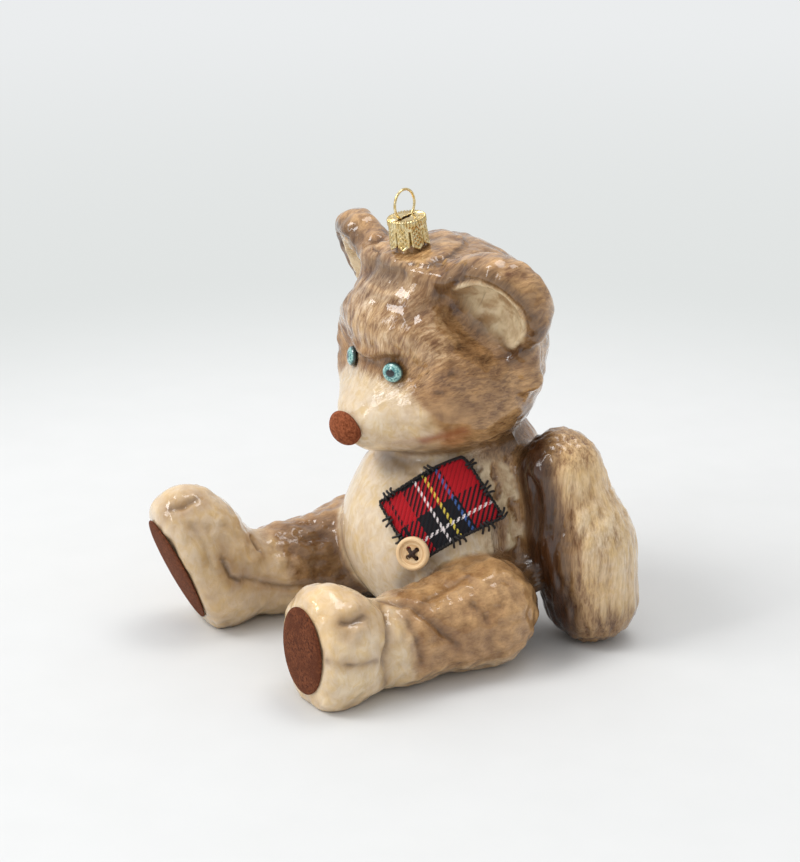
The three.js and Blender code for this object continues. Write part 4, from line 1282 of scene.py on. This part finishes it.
def cap_tooth(angle):
    return copysign(1, cos(angle * CAP_TEETH))


def cap_profile(angle, down):
    """Radius, height and painted shade on the cap's side, dark in its slits, tooth gaps and embossed hollows;
    down runs from 0 at its top to 1 at the petals' ends.
    """
    top = CAP_TOP_DIAMETER / 2
    waist = top - CAP_BAND_STEP
    hem = CAP_SKIRT_DIAMETER / 2 - CAP_FLARE
    petal = (angle * CAP_PETALS / (2 * pi)) % 1 - 0.5
    band_foot = CAP_HEIGHT - CAP_BAND_HEIGHT
    if down < CAP_BAND_SHARE:
        tooth = CAP_TOOTH * cap_tooth(angle)
        height = CAP_HEIGHT - CAP_EDGE - (down / CAP_BAND_SHARE) * (CAP_BAND_HEIGHT - CAP_EDGE)
        return top + tooth - 0.05, height, 0.35 * (tooth < 0)
    end = 1.5 * max(abs(petal) - 0.08, 0) * 1.6
    share = (down - CAP_BAND_SHARE) / (1 - CAP_BAND_SHARE)
    height = (band_foot - CAP_BAND_STEP) * (1 - share) + end * share
    radius = waist + (hem - waist) * (1 - height / band_foot)
    flare = CAP_FLARE * max(0, 1 - height / CAP_FLARE_HEIGHT)
    slit = smooth(0.43, 0.49, abs(petal)) * (height < CAP_SLIT_HEIGHT)
    rim = exp(-((abs(petal) - 0.36) / 0.045) ** 2)
    knots = cos(height * 5.2) * cos(petal * 19) * (abs(petal) < 0.31)
    emboss = 0.14 * rim + 0.12 * knots
    return radius + flare + emboss - 0.5 * slit, height, max(slit, 0.5 * (emboss < -0.03))


def cap_top(angle, reach):
    """Radius, height and painted shade on the cap's top, dark in the gaps between its teeth; reach runs from
    0 in its middle to 1 at its edge.
    """
    tooth = CAP_TOP_TOOTH * (reach > 0.68) * cap_tooth(angle)
    return reach * (CAP_TOP_DIAMETER / 2 - 0.2), CAP_HEIGHT - 0.1 + tooth, 0.4 * (tooth < 0)


def metal_cap():
    columns = CAP_PETALS * CAP_COLUMNS_PER_PETAL
    rows = [(cap_top, reach) for reach in np.linspace(0.2, 1, 15)]
    rows += [(cap_profile, down) for down in (0, 0.06, 0.12, 0.18, 0.245, *np.linspace(0.26, 1, 34))]
    points = []
    low = []
    for outline, share in rows:
        for angle in circle(columns):
            radius, height, recess = outline(angle, share)
            points.append((radius * cos(angle), radius * sin(angle), height))
            low.append(recess)
    points = np.array(points)
    slot_width = WIRE_DIAMETER + 2 * SEAT_GAP
    slot_length = LOOP_DIAMETER * cos(radians(LOOP_FOOT_ANGLE)) + slot_width
    kept = []
    for face in grid_faces(len(rows), columns, True):
        x, y, z = points[list(face)[::-1]].mean(axis=0)
        in_slot = abs(x) < slot_width / 2 and abs(y) < slot_length / 2
        if not (in_slot and z > CAP_HEIGHT - 0.24):
            kept.append(face[::-1])
    points[:, 2] += CAP_LIFT
    piece = add_mesh("gold_cap", in_place(NECK, points), kept, GOLD, {"low": low})
    shell = piece.modifiers.new("shell", "SOLIDIFY")
    shell.thickness = CAP_WALL * 0.001
    shell.offset = -1
    return dress(piece, "cap")


def wire_line():
    """The wire from one leg's end over the loop to the other's."""
    ring = (LOOP_DIAMETER - WIRE_DIAMETER) / 2
    foot = radians(LOOP_FOOT_ANGLE)
    middle = CAP_HEIGHT + ring * sin(foot)
    leg = []
    for share in np.linspace(0, 1, 12):
        spread = WIRE_LEG_SPREAD / 2 * (1 - share) + ring * cos(foot) * share
        leg.append((0, spread, CAP_HEIGHT - WIRE_LEG_DEPTH * (1 - share)))
    loop = []
    for angle in np.linspace(-foot, pi + foot, 60)[1:-1]:
        loop.append((0, ring * cos(angle), middle + ring * sin(angle)))
    other_leg = [(0, -y, z) for _, y, z in leg[::-1]]
    return np.array(leg + loop + other_leg) + (0, 0, CAP_LIFT)


def hanger_wire():
    points, faces = tubes([in_place(NECK, wire_line())], WIRE_DIAMETER / 2, 12)
    piece = add_mesh("hanger_loop", points, faces, GOLD, {"low": np.zeros(len(points))})
    return dress(piece, "hanger_wire")


# Face and soles

def dome(width, height, rise, rings=14, segments=56):
    """A low dome on a flat foot: points, faces, and each point's place in the disc."""
    points = []
    disc = []
    shares = [(reach, 0) for reach in np.linspace(0.02, 1, 6)]
    for angle in np.linspace(0, pi / 2, rings):
        shares.append((max(cos(angle), 0.02), 0.2 + 0.8 * sin(angle)))
    for reach, lift in shares:
        for angle in circle(segments):
            points.append((reach * width / 2 * cos(angle), reach * height / 2 * sin(angle), lift * rise))
            disc.append((reach, cos(angle) * 0.5, sin(angle) * 0.5))
    faces = grid_faces(len(shares), segments, True)
    faces.append(list(range(segments))[::-1])
    faces.append([len(points) - segments + n for n in range(segments)])
    return points, faces, disc


def eye(side, name, node):
    points, faces, disc = dome(EYE_DIAMETER, EYE_DIAMETER, EYE_DOME)
    piece = add_mesh(name, laid(EYE_PLACES[side], points, SEAT_GAP), faces, EYE, {"disc": disc})
    return dress(piece, node)


def nose():
    height = MUZZLE_CENTRE_HEIGHT - MUZZLE_DROP - NOSE_DROP
    place = place_at(vec(0, -HEAD_DEPTH, height), vec(0, 1, 0))
    points, faces, _ = dome(NOSE_WIDTH, NOSE_HEIGHT, NOSE_DOME, 20, 72)
    # The nose takes most of the lighter flock colour: painted light.
    painted_light = np.full(len(points), 0.7)
    piece = add_mesh("flocked_nose", laid(place, points, SEAT_GAP), faces, FLOCK, {"painted_light": painted_light})
    return dress(piece, "nose")


def sole_pad(foot, name, node):
    facing = FEET[foot]["facing"]
    place = place_at(FEET[foot]["centre"] + FOOT_LENGTH * facing, -facing)
    spread = sqrt(1 - (SOLE_DEPTH / (FOOT_LENGTH / 2)) ** 2)
    width = FOOT_WIDTH * spread - 2 * PAD_INSET
    height = FEET[foot]["height"] * spread - 2 * PAD_INSET
    points, faces, _ = dome(width, height, PAD_THICKNESS, 12, 96)
    piece = add_mesh(name, laid(place, points, SEAT_GAP), faces, FLOCK)
    return dress(piece, node)


# Patch, stitching and button

def tartan_patch():
    columns = 97
    rows = 71
    grid = np.meshgrid(np.arange(columns) / (columns - 1), np.arange(rows) / (rows - 1))
    along, across = (shares.ravel() for shares in grid)
    flat = np.column_stack([(along - 0.5) * PATCH_LENGTH, (0.5 - across) * PATCH_WIDTH, 0 * along])
    points = np.vstack([flat, flat + (0, 0, PATCH_THICKNESS)])
    cloth = np.tile(np.column_stack([along, across, 0 * along]), (2, 1))
    count = rows * columns
    under = grid_faces(rows, columns, False)
    faces = under + [[count + n for n in face][::-1] for face in under]
    border = list(range(columns))
    border += [row * columns + columns - 1 for row in range(1, rows)]
    border += [count - 1 - n for n in range(1, columns)]
    border += [row * columns for row in range(rows - 2, 0, -1)]
    for first, second in zip(border, border[1:] + border[:1]):
        faces.append((second, first, first + count, second + count))
    bent = laid(PATCH, points, PATCH_GAP)
    piece = add_mesh("tartan_cloth_patch", bent, faces, tartan_paint(), {"cloth": cloth})
    return dress(piece, "tartan_patch")


# Edges of the patch by number: 0 upper, 1 right, 2 lower, 3 left
EDGE_LENGTHS = (PATCH_LENGTH, PATCH_WIDTH, PATCH_LENGTH, PATCH_WIDTH)
# Tufts of thread: the edge, the share along it, and how many stitches
TUFTS = (
    (0, 0.13, 3), (0, 0.62, 2), (1, 0.2, 2), (1, 0.6, 3), (1, 0.97, 2),
    (2, 0.2, 3), (2, 0.52, 3), (3, 0.45, 2), (3, 0.72, 2),
)


def edge_spot(edge, share, outward):
    """A spot on the patch's edge, moved out from it."""
    along = PATCH_LENGTH / 2
    across = PATCH_WIDTH / 2
    if edge == 0:
        return (2 * share - 1) * along, across + outward
    if edge == 1:
        return along + outward, (1 - 2 * share) * across
    if edge == 2:
        return (1 - 2 * share) * along, -across - outward
    return -along - outward, (2 * share - 1) * across


def overcast_lines():
    """Short stitches that wrap the patch's edge all round, side by side."""
    lines = []
    for edge, length in enumerate(EDGE_LENGTHS):
        for n in range(int(length / OVERCAST_STEP)):
            share = (n + 0.5) * OVERCAST_STEP / length
            lean = 0.25 * sin(n * 2.3 + edge) / length
            line = []
            for part in np.linspace(-1, 1, 6):
                height = OVER_PATCH + 0.3 - 0.55 * max(part, 0) ** 2 - 0.15 * min(part, 0) ** 2
                line.append((*edge_spot(edge, share + part * lean, 0.1 + 0.42 * part), height))
            lines.append(line)
    return lines


def tuft_lines():
    """Fans of stitches that stand out over the patch's edge."""
    lines = []
    for edge, share, count in TUFTS:
        for n in range(count):
            place = n - (count - 1) / 2
            line = []
            for part in np.linspace(0, 1, 9):
                sway = 0.35 * sin(part * 3 + n + edge)
                spread = (place * (1.1 + 0.25 * part) + sway) / EDGE_LENGTHS[edge]
                height = OVER_PATCH + 0.35 + 0.5 * sin(part * pi) - 0.9 * part ** 2
                line.append((*edge_spot(edge, share + spread, TUFT_LENGTH * part - TUFT_INSET), height))
            lines.append(line)
    return lines


def border_line():
    """The thread that runs along the patch's edge, under the other stitches."""
    spots = []
    for edge in range(4):
        for share in np.linspace(0, 1, 40, endpoint=False):
            spots.append((*edge_spot(edge, share, 0.25), OVER_PATCH - 0.25))
    return spots + spots[:1]


def patch_stitching():
    points = []
    faces = []
    for lines, radius, sides in (
        ([border_line()], BORDER_THREAD_RADIUS, 8),
        (overcast_lines(), OVERCAST_THREAD_RADIUS, 6),
        (tuft_lines(), TUFT_THREAD_RADIUS, 8),
    ):
        bent = laid(PATCH, sum(lines, []), PATCH_GAP)
        more, sides_of = tubes(in_lines(bent, lines), radius, sides)
        faces.extend([len(points) + n for n in face] for face in sides_of)
        points.extend(more)
    paint = thread_paint("black_thread", "0b0a0a", "2b2626", 0.55)
    return dress(add_mesh("black_stitches", points, faces, paint), "patch_stitching")


def button():
    mesh = solid_copy("button")
    bmesh.ops.dissolve_limit(mesh, angle_limit=0.02, verts=mesh.verts, edges=mesh.edges)
    sharp = [edge for edge in mesh.edges if edge.is_manifold and edge.calc_face_angle() > 0.5]
    bmesh.ops.bevel(mesh, geom=sharp, offset=BUTTON_BEVEL * 0.001, segments=2, profile=0.6, affect="EDGES")
    points, faces = in_triangles(mesh)
    offset = points - BUTTON["origin"]
    x = offset @ BUTTON["across"] / (BUTTON_DIAMETER / 2)
    y = offset @ BUTTON["up"] / (BUTTON_DIAMETER / 2)
    disc = np.column_stack([np.hypot(x, y), x, y])
    piece = add_mesh("four_hole_button", points, faces, button_paint(), {"disc": disc})
    piece.data.set_sharp_from_angle(angle=0.6)
    return dress(piece, "button")


def button_thread():
    """Two crossing bundles of three strands, each from one hole of the button to the hole opposite."""
    reach = BUTTON_HOLE_SPACING / 2
    top = BUTTON_THICKNESS - BUTTON_DISH
    lines = []
    for first, second in (((1, 1), (-1, -1)), ((1, -1), (-1, 1))):
        for strand in (-1, 0, 1):
            line = []
            for part in np.linspace(0, 1, 15):
                shift = 0.26 * strand
                x = reach * (first[0] * (1 - part) + second[0] * part) + shift * first[1] * 0.7
                y = reach * (first[1] * (1 - part) + second[1] * part) - shift * first[0] * 0.7
                lift = top - 0.7 + 1.35 * sin(part * pi) ** 0.45 - 0.12 * abs(strand)
                line.append((x, y, lift + BUTTON_LIFT))
            lines.append(in_place(BUTTON, line))
    points, faces = tubes(lines, BUTTON_THREAD_RADIUS)
    paint = thread_paint("brown_thread", "1d0f09", "4a2c1c", 0.7)
    return dress(add_mesh("crossed_thread", points, faces, paint), "button_thread")


# Stage, light and camera

def stage_floor():
    ways = ((-1, -1), (1, -1), (1, 1), (-1, 1))
    corners = [(x * FLOOR_REACH, y * FLOOR_REACH, -FLOOR_DROP) for x, y in ways]
    floor = add_mesh("floor", corners, [(0, 1, 2, 3)], floor_paint(), flat=True)


def lights():
    right, _, back = view_axes()
    axes = np.array([right, vec(0, 0, 1), unit(vec(back[0], back[1], 0))])
    for name, (place, size, power) in LAMPS.items():
        light = bpy.data.lights.new(name, "AREA")
        light.shape = "RECTANGLE"
        light.size, light.size_y = size
        light.energy = power
        lamp = bpy.data.objects.new(name, light)
        lamp.location = place @ axes
        lamp.rotation_euler = (Vector(LAMP_TARGET) - lamp.location).to_track_quat("-Z", "Y").to_euler()
        bpy.context.scene.collection.objects.link(lamp)


def world_light():
    """A room that is brighter above, behind and to the picture's left, with an even background."""
    right, _, back = view_axes()
    brightest = unit(vec(0, 0, 1) - 0.3 * right - 0.3 * back)
    world = bpy.data.worlds.new("studio")
    world.use_nodes = True
    bpy.context.scene.world = world
    room = Nodes(world.node_tree)
    way = room.add("TexCoord", output="Generated")
    turned = room.add("VectorMath", {0: way, 1: brightest}, "Value", operation="DOT_PRODUCT")
    levels = {"Value": turned, "From Min": -0.6, "To Min": ROOM_DARK, "To Max": ROOM_BRIGHT}
    mirror_ray = room.add("LightPath", output="Is Glossy Ray")
    mirrored = room.add("MapRange", {"Value": mirror_ray, "To Min": 1, "To Max": ROOM_MIRRORED})
    strength = room.add("MapRange", levels) * mirrored
    lit = room.add("Background", {"Color": ROOM_COLOUR, "Strength": strength})
    seen = room.add("Background", {"Color": BACKGROUND})
    camera_ray = room.add("LightPath", output="Is Camera Ray")
    both = room.add("MixShader", {0: camera_ray, 1: lit, 2: seen})
    room.put(room.tree.nodes["World Output"].inputs["Surface"], both)


def photo_camera():
    right, up, back = view_axes()
    data = bpy.data.cameras.new("photo_view")
    data.sensor_fit = "VERTICAL"
    data.sensor_height = SENSOR
    data.lens = SENSOR * VIEW_FOCUS / PICTURE_HEIGHT
    data.clip_start = 0.01
    camera = bpy.data.objects.new("photo_view", data)
    place = (VIEW_TARGET + VIEW_DISTANCE * back) * 0.001
    axes = np.column_stack([right, up, back])
    camera.matrix_world = Matrix.Translation(place) @ Matrix(axes.tolist()).to_4x4()
    bpy.context.scene.collection.objects.link(camera)
    bpy.context.scene.camera = camera


GOLD = gold_paint()
EYE = eye_paint()
FLOCK = flock_paint()
bpy.context.scene.view_settings.view_transform = "Standard"
photo_camera()
glass_bear()
metal_cap()
hanger_wire()
eye(1, "left_glass_eye", "left_eye")
eye(-1, "right_glass_eye", "right_eye")
nose()
sole_pad("left", "left_sole", "left_foot_pad")
sole_pad("right", "right_sole", "right_foot_pad")
tartan_patch()
patch_stitching()
button()
button_thread()
stage_floor()
lights()
world_light()
